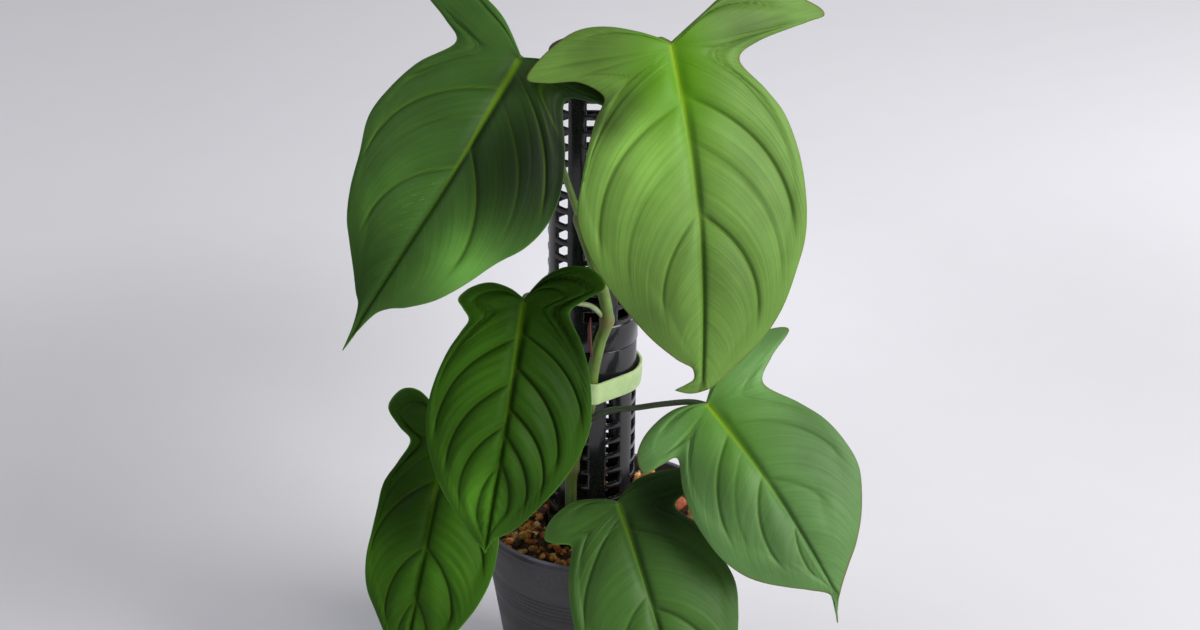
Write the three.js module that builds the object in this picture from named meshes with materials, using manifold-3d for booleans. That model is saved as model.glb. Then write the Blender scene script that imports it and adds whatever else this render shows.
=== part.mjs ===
// A philodendron with six drooping heart-shaped leaves, climbing a slotted plastic pole in a round
// nursery pot. Millimetres, +Z up, seen from -Y. The origin is the middle of the pot's underside.

import * as THREE from 'three';
import { mergeVertices } from 'three/addons/utils/BufferGeometryUtils.js';
import Module from 'manifold-3d';

const wasm = await Module();
wasm.setup();

// Driving dimensions

const GAP = 0.35; // clearance between pieces that touch
const POT = { rim: 65, foot: 46.5, height: 115, wall: 1.8, floor: 2.4, lip: 8, lipStep: 2 };
const DRAIN = { count: 6, ring: 31, radius: 4 };
const SOIL = { top: 107, rings: 6, bump: 1.1, chips: 17 };
const POLE = { x: -6.8, y: 0, bottom: 34, joint: 217, top: 372, radius: 23, wall: 2.2, lean: 0.6 };
const POLE_SIDES = 16;
const PLUG_LENGTH = 12; // of the upper pole inside the lower one
const COLLAR = { step: 0.5, height: 13 };
const SLOT = { columns: 8, pitch: 8.65, height: 5.7, width: 8.2 };
const LOWER_ROWS = { first: 117.5, count: 9, turn: 30, backShift: 0 };
const UPPER_ROWS = { first: 236.4, count: 14, turn: 0, backShift: 0.35 };
const GROOVE = { inside: 1.2, outside: 0.9 }; // room left for the pole in the substrate
const CHIP = { x: 41, y: 13, radius: 5.2 };
const VINE_RADIUS = 3.1;
const NODE_SWELLING = 0.9;
const PETIOLE_RADIUS = 1.7;
const BLADE_THICKNESS = 0.8;
const TIE = { height: 198.5, width: 11.5, thickness: 1.6, tilt: 4, reach: 27.5, clearance: 1.3 };

// Materials

const finish = (color, roughness) => new THREE.MeshStandardMaterial({ color, roughness, metalness: 0 });
const POT_PLASTIC = finish(0x3a383d, 0.5);
const POLE_PLASTIC = finish(0x232326, 0.32);
const SUBSTRATE = finish(0x6b4a24, 0.95);
const CLAY = finish(0xb5573a, 0.85);
const STEM_GREEN = finish(0x8fa24c, 0.45);
const LEAF_GREEN = finish(0x3f7a2c, 0.4);
const TIE_FABRIC = finish(0x9fc583, 0.9);

// Solids and meshes

function toSolid(geometry) {
  const bare = geometry.clone();
  bare.deleteAttribute('normal');
  bare.deleteAttribute('uv');
  const merged = mergeVertices(bare, 1e-4);
  const corners = Array.from(merged.index.array);
  const faces = [];
  for (let i = 0; i < corners.length; i += 3) {
    const [a, b, c] = corners.slice(i, i + 3);
    if (a !== b && b !== c && c !== a) faces.push(a, b, c);
  }
  return new wasm.Manifold(new wasm.Mesh({
    numProp: 3,
    vertProperties: new Float32Array(merged.attributes.position.array),
    triVerts: new Uint32Array(faces),
  }));
}

function toGeometry(solid) {
  const mesh = solid.getMesh();
  const geometry = new THREE.BufferGeometry();
  geometry.setAttribute('position', new THREE.BufferAttribute(mesh.vertProperties, 3));
  geometry.setIndex(new THREE.BufferAttribute(mesh.triVerts, 1));
  geometry.computeVertexNormals();
  return geometry;
}

// A profile of [radius, height] points turned round the Z axis
function turned(profile, segments, startAngle = 0) {
  const points = profile.map(([radius, height]) => new THREE.Vector2(radius, height));
  return new THREE.LatheGeometry(points, segments, startAngle).rotateX(Math.PI / 2);
}

// A round stalk through the given points
function stalk(points, radius, sides, steps) {
  const path = new THREE.CatmullRomCurve3(points.map((p) => new THREE.Vector3(...p)));
  const corners = [];
  for (let i = 0; i < sides; i += 1) {
    const angle = (i * 2 * Math.PI) / sides;
    corners.push(new THREE.Vector2(radius * Math.cos(angle), radius * Math.sin(angle)));
  }
  const section = new THREE.Shape(corners);
  return toSolid(new THREE.ExtrudeGeometry(section, { steps, extrudePath: path, bevelEnabled: false }));
}

// A repeatable draw between 0 and 1 for item n
function draw(n) {
  const value = Math.sin(n * 127.1 + 11.7) * 43758.5453;
  return value - Math.floor(value);
}

// Pot: a thin tapered shell with a rolled lip and drainage holes round the middle of its floor

function potRadius(height) {
  const body = POT.rim - POT.lipStep;
  return POT.foot + ((body - POT.foot) * height) / (POT.height - POT.lip);
}

function pot() {
  const lipBottom = POT.height - POT.lip;
  const inner = (height) => potRadius(height) - POT.wall;
  const shell = toSolid(turned([
    [0, 0],
    [POT.foot - 1.5, 0],
    [potRadius(1.5), 1.5],
    [potRadius(lipBottom), lipBottom],
    [POT.rim, lipBottom],
    [POT.rim, POT.height - 1.2],
    [POT.rim - 1.2, POT.height],
    [POT.rim - 2.4, POT.height],
    [inner(lipBottom), lipBottom - 1],
    [inner(POT.floor), POT.floor],
    [0, POT.floor],
  ], 40));
  let holes = null;
  for (let i = 0; i < DRAIN.count; i += 1) {
    const angle = (i * 2 * Math.PI) / DRAIN.count;
    const hole = toSolid(new THREE.CylinderGeometry(DRAIN.radius, DRAIN.radius, 12, 12)
      .rotateX(Math.PI / 2)
      .translate(DRAIN.ring * Math.cos(angle), DRAIN.ring * Math.sin(angle), 0));
    holes = holes ? holes.add(hole) : hole;
  }
  return shell.subtract(holes);
}

// Support pole: two slotted tubes, the upper one plugged into the lower one, leaning a little

function poleSlots(rows) {
  let slots = null;
  for (let column = 0; column < SLOT.columns; column += 1) {
    const angle = THREE.MathUtils.degToRad(rows.turn) + (column * 2 * Math.PI) / SLOT.columns;
    const shift = Math.cos(angle) < -0.1 ? rows.backShift : 0;
    for (let row = 0; row < rows.count; row += 1) {
      const slot = toSolid(new THREE.BoxGeometry(SLOT.width, 4 * POLE.wall, SLOT.height)
        .translate(0, -POLE.radius, rows.first + (row + shift) * SLOT.pitch)
        .rotateZ(angle));
      slots = slots ? slots.add(slot) : slot;
    }
  }
  return slots;
}

function poleTube(profile, turn) {
  const startAngle = Math.PI / POLE_SIDES + THREE.MathUtils.degToRad(turn);
  return toSolid(turned([...profile, profile[0]], POLE_SIDES, startAngle));
}

function leaned(solid) {
  const tilt = THREE.MathUtils.degToRad(POLE.lean);
  const place = new THREE.Matrix4()
    .makeTranslation(POLE.x, POLE.y, 0)
    .multiply(new THREE.Matrix4().makeRotationY(tilt));
  return toSolid(toGeometry(solid).applyMatrix4(place));
}

function lowerPole() {
  const inner = POLE.radius - POLE.wall;
  const tube = poleTube([
    [inner, POLE.bottom],
    [POLE.radius, POLE.bottom],
    [POLE.radius, POLE.joint],
    [inner, POLE.joint],
  ], LOWER_ROWS.turn);
  return leaned(tube.subtract(poleSlots(LOWER_ROWS)));
}

function upperPole() {
  const inner = POLE.radius - POLE.wall;
  const plug = inner * Math.cos(Math.PI / POLE_SIDES) - GAP;
  const foot = POLE.joint + GAP;
  const tube = poleTube([
    [plug - POLE.wall, POLE.joint - PLUG_LENGTH],
    [plug, POLE.joint - PLUG_LENGTH],
    [plug, foot],
    [POLE.radius + COLLAR.step, foot],
    [POLE.radius + COLLAR.step, foot + COLLAR.height],
    [POLE.radius, foot + COLLAR.height + 1],
    [POLE.radius, POLE.top],
    [inner, POLE.top],
    [inner, foot + 2],
    [plug - POLE.wall, foot],
  ], UPPER_ROWS.turn);
  return leaned(tube.subtract(poleSlots(UPPER_ROWS)));
}

// Vine: the climbing stem, thicker at the nodes where leaves grow out

const VINE = [
  [-14, -27, 88],
  [-15, -27, 110],
  [-15.5, -27, 132],
  [-15, -27, 152],
  [-9, -27.4, 178],
  [-5.2, -27.4, 192],
  [-4.4, -27.5, 206],
  [-0.8, -27.8, 225],
  [3, -28, 238],
  [1, -28, 254],
  [-5, -28, 274],
  [-10, -28, 293],
  [-8, -28.5, 304],
];
const NODES = [[-15, -27, 118], [-15, -27, 153], [-8.4, -27.4, 180], [3, -28, 238], [-10, -28, 293]];

function vine(extra) {
  let stem = stalk(VINE, VINE_RADIUS + extra, 8, 22);
  for (const [x, y, z] of NODES) {
    const swelling = VINE_RADIUS + NODE_SWELLING + extra;
    stem = stem.add(toSolid(new THREE.SphereGeometry(swelling, 8, 4)
      .scale(1, 1, 0.8)
      .rotateX(Math.PI / 2)
      .translate(x, y, z)));
  }
  return stem;
}

// Leaves: every row is one pair of side veins, [root on the midrib, left edge across and along,
// right edge across and along], from the tip back round the basal lobes to the stalk. "along" runs
// from the stalk to the apex and "across" away from the midrib on each side.

const LEAVES = {
  leaf_top_left: {
    base: [-39, -48, 383],
    apex: [-114, -92, 270],
    facing: [-0.25, -1, 0.45],
    bow: 10,
    sway: 4,
    halfWidth: 55,
    fold: [8, 10],
    lobeLift: [-6, -6],
    pleat: 1.2,
    tip: [-1, 162],
    rows: [
      [139, 1.5, 150, 1.5, 149],
      [120, 4, 139, 5, 138],
      [90, 8, 134, 10, 132],
      [58, 14, 126, 17, 127],
      [34, 23, 115, 27, 117],
      [18, 30, 106, 35, 104],
      [8, 36, 93, 43, 87],
      [3, 41, 77, 51, 73],
      [0, 47, 60, 54, 58],
      [0, 46, 44, 51, 42],
      [0, 41, 26, 43, 26],
      [0, 31, 8, 29, 5],
      [0, 43, 1, 40, -2],
      [0, 61, -5, 53, -5],
      [0, 78, -14, 62, -10],
      [0, 61, -21, 50, -14],
      [0, 42, -19, 33, -13],
      [0, 20, -14, 15, -9],
    ],
    petiole: [
      [-10, -28, 293],
      [-13, -30.5, 303],
      [-17, -34, 317],
      [-26, -34, 345],
      [-34, -34.5, 368],
      [-38.5, -39, 381],
      [-39.5, -49, 383],
    ],
  },
  leaf_top_right: {
    base: [33, -62, 395],
    apex: [48, -108, 242],
    facing: [0.1, -1, 0.45],
    bow: 12,
    sway: 4,
    halfWidth: 58,
    fold: [8, 8],
    lobeLift: [-8, 4],
    pleat: 1.2,
    tip: [-13, 162],
    rows: [
      [158, 8, 160.3, -6, 164.3],
      [154, 3.5, 157.5, 2, 163.5],
      [146, 4, 152, 8, 160],
      [118, 8, 149, 15, 154],
      [84, 12, 146, 24, 147],
      [56, 22, 136, 34, 137],
      [36, 31, 124, 42, 125],
      [22, 40, 110, 49, 109],
      [12, 48, 93, 54, 95],
      [5, 52, 76, 56, 78],
      [2, 49, 60, 55, 57],
      [0.7, 44, 43, 50, 37],
      [0, 39, 30, 42, 24],
      [0, 34, 20, 31, 9],
      [0, 45, 12, 42, 1],
      [0, 60, 11, 60, -4],
      [0, 69, 8, 74, -7],
      [0, 58, -3, 64, -17],
      [0, 44, -11, 48, -24],
      [0, 30, -12, 31, -23],
      [0, 14, -8, 14, -12],
    ],
    petiole: [
      [-9, -28.5, 300],
      [-5, -29.5, 309],
      [3, -30, 325],
      [14, -33, 352],
      [22, -40, 380],
      [27, -50, 394],
      [33, -62, 395.5],
    ],
  },
  leaf_mid_left: {
    base: [-38, -58, 261],
    apex: [-57, -90, 146],
    facing: [-0.05, -1, 0.5],
    bow: 9,
    sway: 1,
    halfWidth: 42,
    fold: [5, 5],
    lobeLift: [0, 0],
    pleat: 2.2,
    tip: [0, 128],
    rows: [
      [118, 1.5, 125, 1.2, 124],
      [106, 5, 122, 4, 119],
      [84, 11, 115, 11, 114],
      [64, 18, 107, 18, 106],
      [46, 25, 98, 25, 96],
      [30, 31, 87, 32, 85],
      [16, 36, 74, 38, 72],
      [6, 38, 61, 42, 57],
      [2, 37, 46, 41, 43],
      [0.6, 33, 30, 37, 27],
      [0, 28, 19, 31, 14],
      [0, 25, 12, 23, 1],
      [0, 29, 7, 30, -7],
      [0, 32, 3, 38, -14],
      [0, 27, -3, 31, -21],
      [0, 18, -7, 19, -21],
      [0, 8, -6, 8, -14],
    ],
    petiole: [
      [3, -28, 238],
      [-4.5, -31, 247],
      [-11.5, -36, 251],
      [-22, -42, 255],
      [-32, -47, 261],
      [-37, -52, 262.5],
      [-38.5, -58.5, 261],
    ],
  },
  leaf_low_left: {
    base: [-79, -34, 174],
    apex: [-101, -70, 64],
    facing: [-0.2, -1, 0.4],
    bow: 8,
    sway: 1,
    halfWidth: 40,
    fold: [5, 5],
    lobeLift: [0, 0],
    pleat: 1.8,
    tip: [0, 136],
    rows: [
      [115, 2, 130, 2.5, 131],
      [100, 7, 119, 11, 118],
      [80, 12, 107, 19, 105],
      [60, 19, 95, 27, 92],
      [42, 25, 85, 33, 80],
      [26, 28, 73, 37, 67],
      [12, 28, 58, 38, 54],
      [4, 27.5, 43, 37, 42],
      [0, 27, 29, 33, 30],
      [0, 22, 17, 27, 17],
      [0, 18, 5, 18, 5],
      [0, 26, -1, 23, -3],
      [0, 34, -9, 28, -12],
      [0, 29, -19, 23, -18],
      [0, 19, -20, 12, -17],
      [0, 7, -11, 4, -9],
    ],
    petiole: [
      [-15, -27, 153],
      [-24, -27, 161],
      [-40, -27, 170],
      [-58, -26, 175],
      [-71, -25.5, 178],
      [-78, -28, 177],
      [-79.5, -34.5, 174],
    ],
  },
  leaf_low_right: {
    base: [54, -52, 202],
    apex: [115, -94, 122],
    facing: [0.1, -1, 0.5],
    bow: 8,
    sway: 2,
    halfWidth: 45,
    fold: [5, 5],
    lobeLift: [0, 0],
    pleat: 1.2,
    tip: [-7, 126],
    rows: [
      [107, 4.5, 121, -3.5, 120],
      [101, 2.5, 112, 4, 112],
      [84, 10, 104, 14, 104],
      [64, 19, 96, 22, 98],
      [46, 28, 87, 31, 89],
      [30, 34, 78, 39, 78],
      [16, 38, 66, 45, 66],
      [6, 39, 52, 46, 52],
      [2, 38, 39, 44, 38],
      [0.6, 34, 26, 38, 24],
      [0, 28, 13, 29, 6],
      [0, 37, 11, 41, -3],
      [0, 46, 10, 56, -9],
      [0, 44, 1, 47, -15],
      [0, 33, -6, 31, -17],
      [0, 16, -8, 14, -12],
    ],
    petiole: [
      [-8.4, -27.4, 180],
      [-3, -32.5, 186],
      [4, -34.5, 190.5],
      [16, -37, 193],
      [32, -42, 198],
      [46, -46.5, 201.3],
      [54.5, -52.5, 202],
    ],
  },
  leaf_front: {
    base: [9, -52, 145],
    apex: [41, -104, 53],
    facing: [0, -1, 0.6],
    bow: 12,
    sway: 1,
    halfWidth: 42,
    fold: [5, 5],
    lobeLift: [0, 0],
    pleat: 1.2,
    tip: [0, 127],
    rows: [
      [108, 4, 122, 4, 123],
      [94, 11, 115, 13, 117],
      [74, 20, 106, 22, 108],
      [54, 29, 95, 30, 97],
      [36, 36, 81, 37, 83],
      [20, 39, 66, 42, 69],
      [8, 39, 51, 45, 55],
      [2, 37, 36, 43, 42],
      [0, 33, 23, 40, 29],
      [0, 29, 13, 37, 18],
      [0, 37, 9, 47, 13],
      [0, 41, 5, 56, 4],
      [0, 35, -3, 48, -6],
      [0, 22, -8, 31, -10],
      [0, 9, -6, 13, -10],
    ],
    petiole: [
      [-15, -27, 118],
      [-10, -31, 121],
      [-3, -36, 127],
      [3, -41, 135],
      [7, -46, 142],
      [9.2, -52.5, 145],
    ],
  },
};
const SINUS = [0, -2];
const TIP_REACH = 40; // from here to the apex the side veins run ever straighter
const STEPS_PER_ROW = 2;
const STEPS_ACROSS = 3;

function leafFrame(leaf) {
  const base = new THREE.Vector3(...leaf.base);
  const down = new THREE.Vector3(...leaf.apex).sub(base);
  const length = down.length();
  down.normalize();
  const across = new THREE.Vector3(...leaf.facing).cross(down).normalize();
  const outward = down.clone().cross(across);
  return { base, down, across, outward, length };
}

// Height of the blade above the flat leaf plane: the midrib bows out, the halves and lobes fold back
function bladeHeight(leaf, length, u, v) {
  const s = v / length;
  const side = u < 0 ? 0 : 1;
  const x = u / leaf.halfWidth;
  const lobe = v < 0 ? leaf.lobeLift[side] * (-s / 0.35) ** 1.5 : 0;
  return leaf.bow * 4 * s * (1 - Math.abs(s)) - (leaf.fold[side] * x * x) / (1 + 0.5 * x * x) + lobe;
}

// A smooth curve from b to c, with a and d as its neighbours
function smooth(a, b, c, d, t) {
  const rise = c - a;
  const bend = 2 * a - 5 * b + 4 * c - d;
  const twist = 3 * b - a - 3 * c + d;
  return 0.5 * (2 * b + rise * t + bend * t * t + twist * t ** 3);
}

// Root and edge of the vein line at a row position, interpolated between the listed rows
function veinLine(leaf, length, side, position) {
  const sign = side === 0 ? -1 : 1;
  const edges = leaf.rows.map((row) => [row[0], sign * row[1 + 2 * side], row[2 + 2 * side]]);
  const all = [[length, ...leaf.tip], ...edges, [0, ...SINUS]];
  const i = Math.min(Math.floor(position), all.length - 2);
  const t = position - i;
  const last = all.length - 1;
  const [a, b, c, d] = [i - 1, i, i + 1, i + 2].map((k) => all[THREE.MathUtils.clamp(k, 0, last)]);
  const root = b[0] + (c[0] - b[0]) * t;
  return {
    root: [leaf.sway * Math.sin((Math.PI * root) / length), root],
    edge: [smooth(a[1], b[1], c[1], d[1], t), smooth(a[2], b[2], c[2], d[2], t)],
    ridge: Math.sin(Math.PI * t) ** 2,
  };
}

// A point on the blade: side veins leave the midrib outwards and sweep towards the apex
function bladePoint(leaf, frame, side, position, t) {
  const { root, edge, ridge } = veinLine(leaf, frame.length, side, position);
  const belowLobe = THREE.MathUtils.clamp((edge[1] / frame.length - 0.1) / 0.55, 0, 1);
  const aboveTip = THREE.MathUtils.clamp((frame.length - root[1]) / TIP_REACH, 0, 1);
  const sweep = 0.38 * belowLobe * aboveTip;
  const chord = [edge[0] - root[0], edge[1] - root[1]];
  const sign = side === 0 ? -1 : 1;
  const bulge = 2 * t * (1 - t) * sweep;
  const u = root[0] + chord[0] * t + sign * chord[1] * bulge;
  const v = root[1] + chord[1] * t - sign * chord[0] * bulge;
  const relief = leaf.pleat * ridge * 4 * t * (1 - t) * Math.min(1, root[1] / 20);
  const w = bladeHeight(leaf, frame.length, u, v) + relief;
  return frame.base.clone()
    .addScaledVector(frame.across, u)
    .addScaledVector(frame.down, v)
    .addScaledVector(frame.outward, w);
}

// The blade as one sheet of points, then thickened along its normals with both faces split alike
function blade(leaf) {
  const frame = leafFrame(leaf);
  const count = (leaf.rows.length + 1) * STEPS_PER_ROW;
  const corners = [];
  const faces = [];
  const rim = [];
  for (let side = 0; side < 2; side += 1) {
    for (let i = 0; i <= count; i += 1) {
      for (let j = 0; j <= STEPS_ACROSS; j += 1) {
        corners.push(...bladePoint(leaf, frame, side, i / STEPS_PER_ROW, j / STEPS_ACROSS).toArray());
      }
    }
    const start = side * (count + 1) * (STEPS_ACROSS + 1);
    for (let i = 0; i < count; i += 1) {
      for (let j = 0; j < STEPS_ACROSS; j += 1) {
        const a = start + i * (STEPS_ACROSS + 1) + j;
        const b = a + 1;
        const c = a + STEPS_ACROSS + 1;
        const d = c + 1;
        if (side === 0) faces.push(a, b, c, b, d, c);
        else faces.push(a, c, b, b, c, d);
      }
      rim.push([start + i * (STEPS_ACROSS + 1) + STEPS_ACROSS, side]);
    }
  }
  const sheet = new THREE.BufferGeometry();
  sheet.setAttribute('position', new THREE.Float32BufferAttribute(corners, 3));
  sheet.setIndex(faces);
  const merged = mergeVertices(sheet, 1e-3);
  const kept = [];
  for (let i = 0; i < merged.index.count; i += 3) {
    const [a, b, c] = [0, 1, 2].map((k) => merged.index.getX(i + k));
    if (a !== b && b !== c && c !== a) kept.push([a, b, c]);
  }
  merged.setIndex(kept.flat());
  merged.computeVertexNormals();
  return thickened(merged, kept);
}

function thickened(sheet, triangles) {
  const position = sheet.attributes.position;
  const normal = sheet.attributes.normal;
  const points = [];
  for (const side of [0.5, -0.5]) {
    for (let i = 0; i < position.count; i += 1) {
      const offset = side * BLADE_THICKNESS;
      points.push(
        position.getX(i) + normal.getX(i) * offset,
        position.getY(i) + normal.getY(i) * offset,
        position.getZ(i) + normal.getZ(i) * offset,
      );
    }
  }
  const n = position.count;
  const faces = [];
  const open = new Map();
  for (const [a, b, c] of triangles) {
    faces.push(a, b, c, c + n, b + n, a + n);
    for (const [p, q] of [[a, b], [b, c], [c, a]]) {
      if (!open.delete(`${q} ${p}`)) open.set(`${p} ${q}`, [p, q]);
    }
  }
  for (const [p, q] of open.values()) faces.push(q, p, p + n, p + n, q + n, q);
  const closed = new THREE.BufferGeometry();
  closed.setAttribute('position', new THREE.Float32BufferAttribute(points, 3));
  closed.setIndex(faces);
  return toSolid(closed);
}

function leafSolid(leaf, vineClearance) {
  const petiole = stalk(leaf.petiole, PETIOLE_RADIUS, 6, 12);
  return blade(leaf).add(petiole).subtract(vineClearance);
}

// Substrate: bark and clay grains filling the pot, with chips standing out of its top

function soilHeight(x, y) {
  const fine = Math.sin(0.71 * x + 0.2 * y) * Math.sin(0.63 * y - 0.3 * x);
  return SOIL.top + SOIL.bump * (fine + Math.sin(0.33 * x - 0.4 * y));
}

function substrate(vineClearance, chip) {
  const inside = (height) => potRadius(height) - POT.wall - GAP;
  const profile = [[0, POT.floor + GAP], [inside(POT.floor), POT.floor + GAP]];
  profile.push([inside(SOIL.top - 4), SOIL.top - 4]);
  for (let ring = SOIL.rings; ring >= 0; ring -= 1) {
    profile.push([((inside(SOIL.top) - 1) * ring) / SOIL.rings, SOIL.top]);
  }
  const fill = turned(profile, 30);
  const position = fill.attributes.position;
  for (let i = 0; i < position.count; i += 1) {
    if (position.getZ(i) > SOIL.top - 1) {
      position.setZ(i, soilHeight(position.getX(i), position.getY(i)));
    }
  }
  let solid = toSolid(fill);
  for (let i = 0; i < SOIL.chips; i += 1) {
    const angle = draw(i) * 2 * Math.PI;
    const radius = 30 + 26 * draw(i + 100);
    const size = 2.6 + 2.4 * draw(i + 200);
    const [x, y] = [radius * Math.cos(angle), radius * Math.sin(angle)];
    solid = solid.add(toSolid(new THREE.IcosahedronGeometry(size, 0)
      .scale(1, 0.75, 0.7)
      .rotateZ(6 * draw(i + 300))
      .translate(x, y, soilHeight(x, y))));
  }
  const [inner, outer] = [POLE.radius - POLE.wall - GROOVE.inside, POLE.radius + GROOVE.outside];
  const [low, high] = [POLE.bottom - GAP, SOIL.top + 8];
  const groove = turned([[inner, low], [outer, low], [outer, high], [inner, high], [inner, low]], 24);
  return solid.subtract(leaned(toSolid(groove))).subtract(vineClearance).subtract(chip);
}

// A reddish clay chip lying in the substrate

function clayChip(extra) {
  return toSolid(new THREE.IcosahedronGeometry(CHIP.radius + extra, 1)
    .scale(1.15, 0.8, 0.75)
    .rotateZ(0.6)
    .translate(CHIP.x, CHIP.y, SOIL.top + 3));
}

// Tie: a soft band drawn round the pole and the vine

function tieOutline(clearance) {
  const around = POLE.radius + clearance;
  const vineSide = VINE_RADIUS + clearance;
  const tangent = Math.acos((around - vineSide) / TIE.reach);
  const front = -Math.PI / 2;
  const outline = new THREE.Path();
  outline.absarc(0, 0, around, front + tangent, front - tangent + 2 * Math.PI);
  outline.absarc(0, -TIE.reach, vineSide, front - tangent, front + tangent);
  return outline.getPoints(11);
}

function tie() {
  const band = new THREE.Shape(tieOutline(TIE.clearance + TIE.thickness));
  band.holes.push(new THREE.Path(tieOutline(TIE.clearance)));
  const tilt = THREE.MathUtils.degToRad(TIE.tilt);
  const axis = POLE.x + TIE.height * Math.tan(THREE.MathUtils.degToRad(POLE.lean));
  return toSolid(new THREE.ExtrudeGeometry(band, { depth: TIE.width, bevelEnabled: false, steps: 1 })
    .translate(0, 0, -TIE.width / 2)
    .rotateY(tilt)
    .translate(axis, POLE.y, TIE.height));
}

// The assembly

const plant = new THREE.Group();

function place(name, solid, material) {
  const mesh = new THREE.Mesh(toGeometry(solid), material);
  mesh.name = name;
  plant.add(mesh);
}

const vineClearance = vine(GAP);
place('pot', pot(), POT_PLASTIC);
place('substrate', substrate(vineClearance, clayChip(GAP)), SUBSTRATE);
place('clay_chip', clayChip(0), CLAY);
place('pole_lower', lowerPole(), POLE_PLASTIC);
place('pole_upper', upperPole(), POLE_PLASTIC);
place('vine', vine(0), STEM_GREEN);
place('tie', tie(), TIE_FABRIC);
for (const [name, leaf] of Object.entries(LEAVES)) {
  place(name, leafSolid(leaf, vineClearance), LEAF_GREEN);
}

export default plant;
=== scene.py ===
"""A philodendron with drooping heart-shaped leaves, tied to a slotted pole in a nursery pot."""

import math
import random

import bpy
import numpy as np
from mathutils import Matrix, Vector, noise


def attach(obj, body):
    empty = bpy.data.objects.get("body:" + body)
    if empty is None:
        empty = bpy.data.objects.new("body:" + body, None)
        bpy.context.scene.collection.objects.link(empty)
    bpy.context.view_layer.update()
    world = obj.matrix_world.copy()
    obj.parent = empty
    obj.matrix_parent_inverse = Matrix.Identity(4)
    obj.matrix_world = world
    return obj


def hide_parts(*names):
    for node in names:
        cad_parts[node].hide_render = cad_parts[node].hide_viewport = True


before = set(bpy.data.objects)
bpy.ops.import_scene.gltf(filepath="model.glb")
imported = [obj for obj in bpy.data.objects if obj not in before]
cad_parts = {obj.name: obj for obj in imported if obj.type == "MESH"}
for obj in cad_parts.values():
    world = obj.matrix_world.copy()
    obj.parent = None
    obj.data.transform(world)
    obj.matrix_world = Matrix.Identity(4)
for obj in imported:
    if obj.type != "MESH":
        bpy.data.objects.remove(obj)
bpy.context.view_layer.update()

bl_info = {
    "name": "Potted philodendron",
    "version": (1, 0, 0),
    "blender": (4, 5, 0),
    "location": "View3D > Sidebar > Philodendron",
    "description": "Builds a climbing philodendron, its slotted pole and its nursery pot",
    "category": "Object",
}

MM = 0.001

# Blades, in millimetres: where the lobes meet behind the stalk, how far from the tip the side veins
# straighten, the depth of the crease along a vein, the rise of the midrib, the plain area round the
# stalk, and the width of the margin. Then the bow of the side veins and the run over which one fades
# out, as shares, and the steps of the mesh along a blade and from midrib to margin.

SINUS = (0, -2)
TIP_REACH = 40
CREASE_DEPTH = 0.55
RIB_RISE = 0.3
PLAIN_RADIUS = 9
MARGIN_WIDTH = 0.9
VEIN_BOW = 0.38
VEIN_FADE = 0.18
ROW_STEPS = 260
HALF_STEPS = 46

# Leaves, in millimetres, in each blade's own plane: across to the right and along towards the tip.
# bow, sway, fold and lobe_lift bend the plane; fold and lobe_lift are left and right. arch is the rise
# beside the midrib and where it peaks, left and right. pillow is the height of the panels between
# veins, panel the width of a valley, ripple the height of the fine waves. patches are painted light,
# and painted shade where the amount is below 0, for the shadows that leaves cast on each other and
# the sheen where they are lit; each is across, along, width, length and doublings of brightness.
# stalk is the petiole's finish and thickness; the dark finish is partly painted shade. A row is one
# pair of side veins, from the tip back to the stalk: root along the midrib, then the edge across and
# along, left and right. A vein that shows is side (0 left, 1 right), row position at the midrib and
# at the edge, reach towards the edge, and depth.

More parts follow.
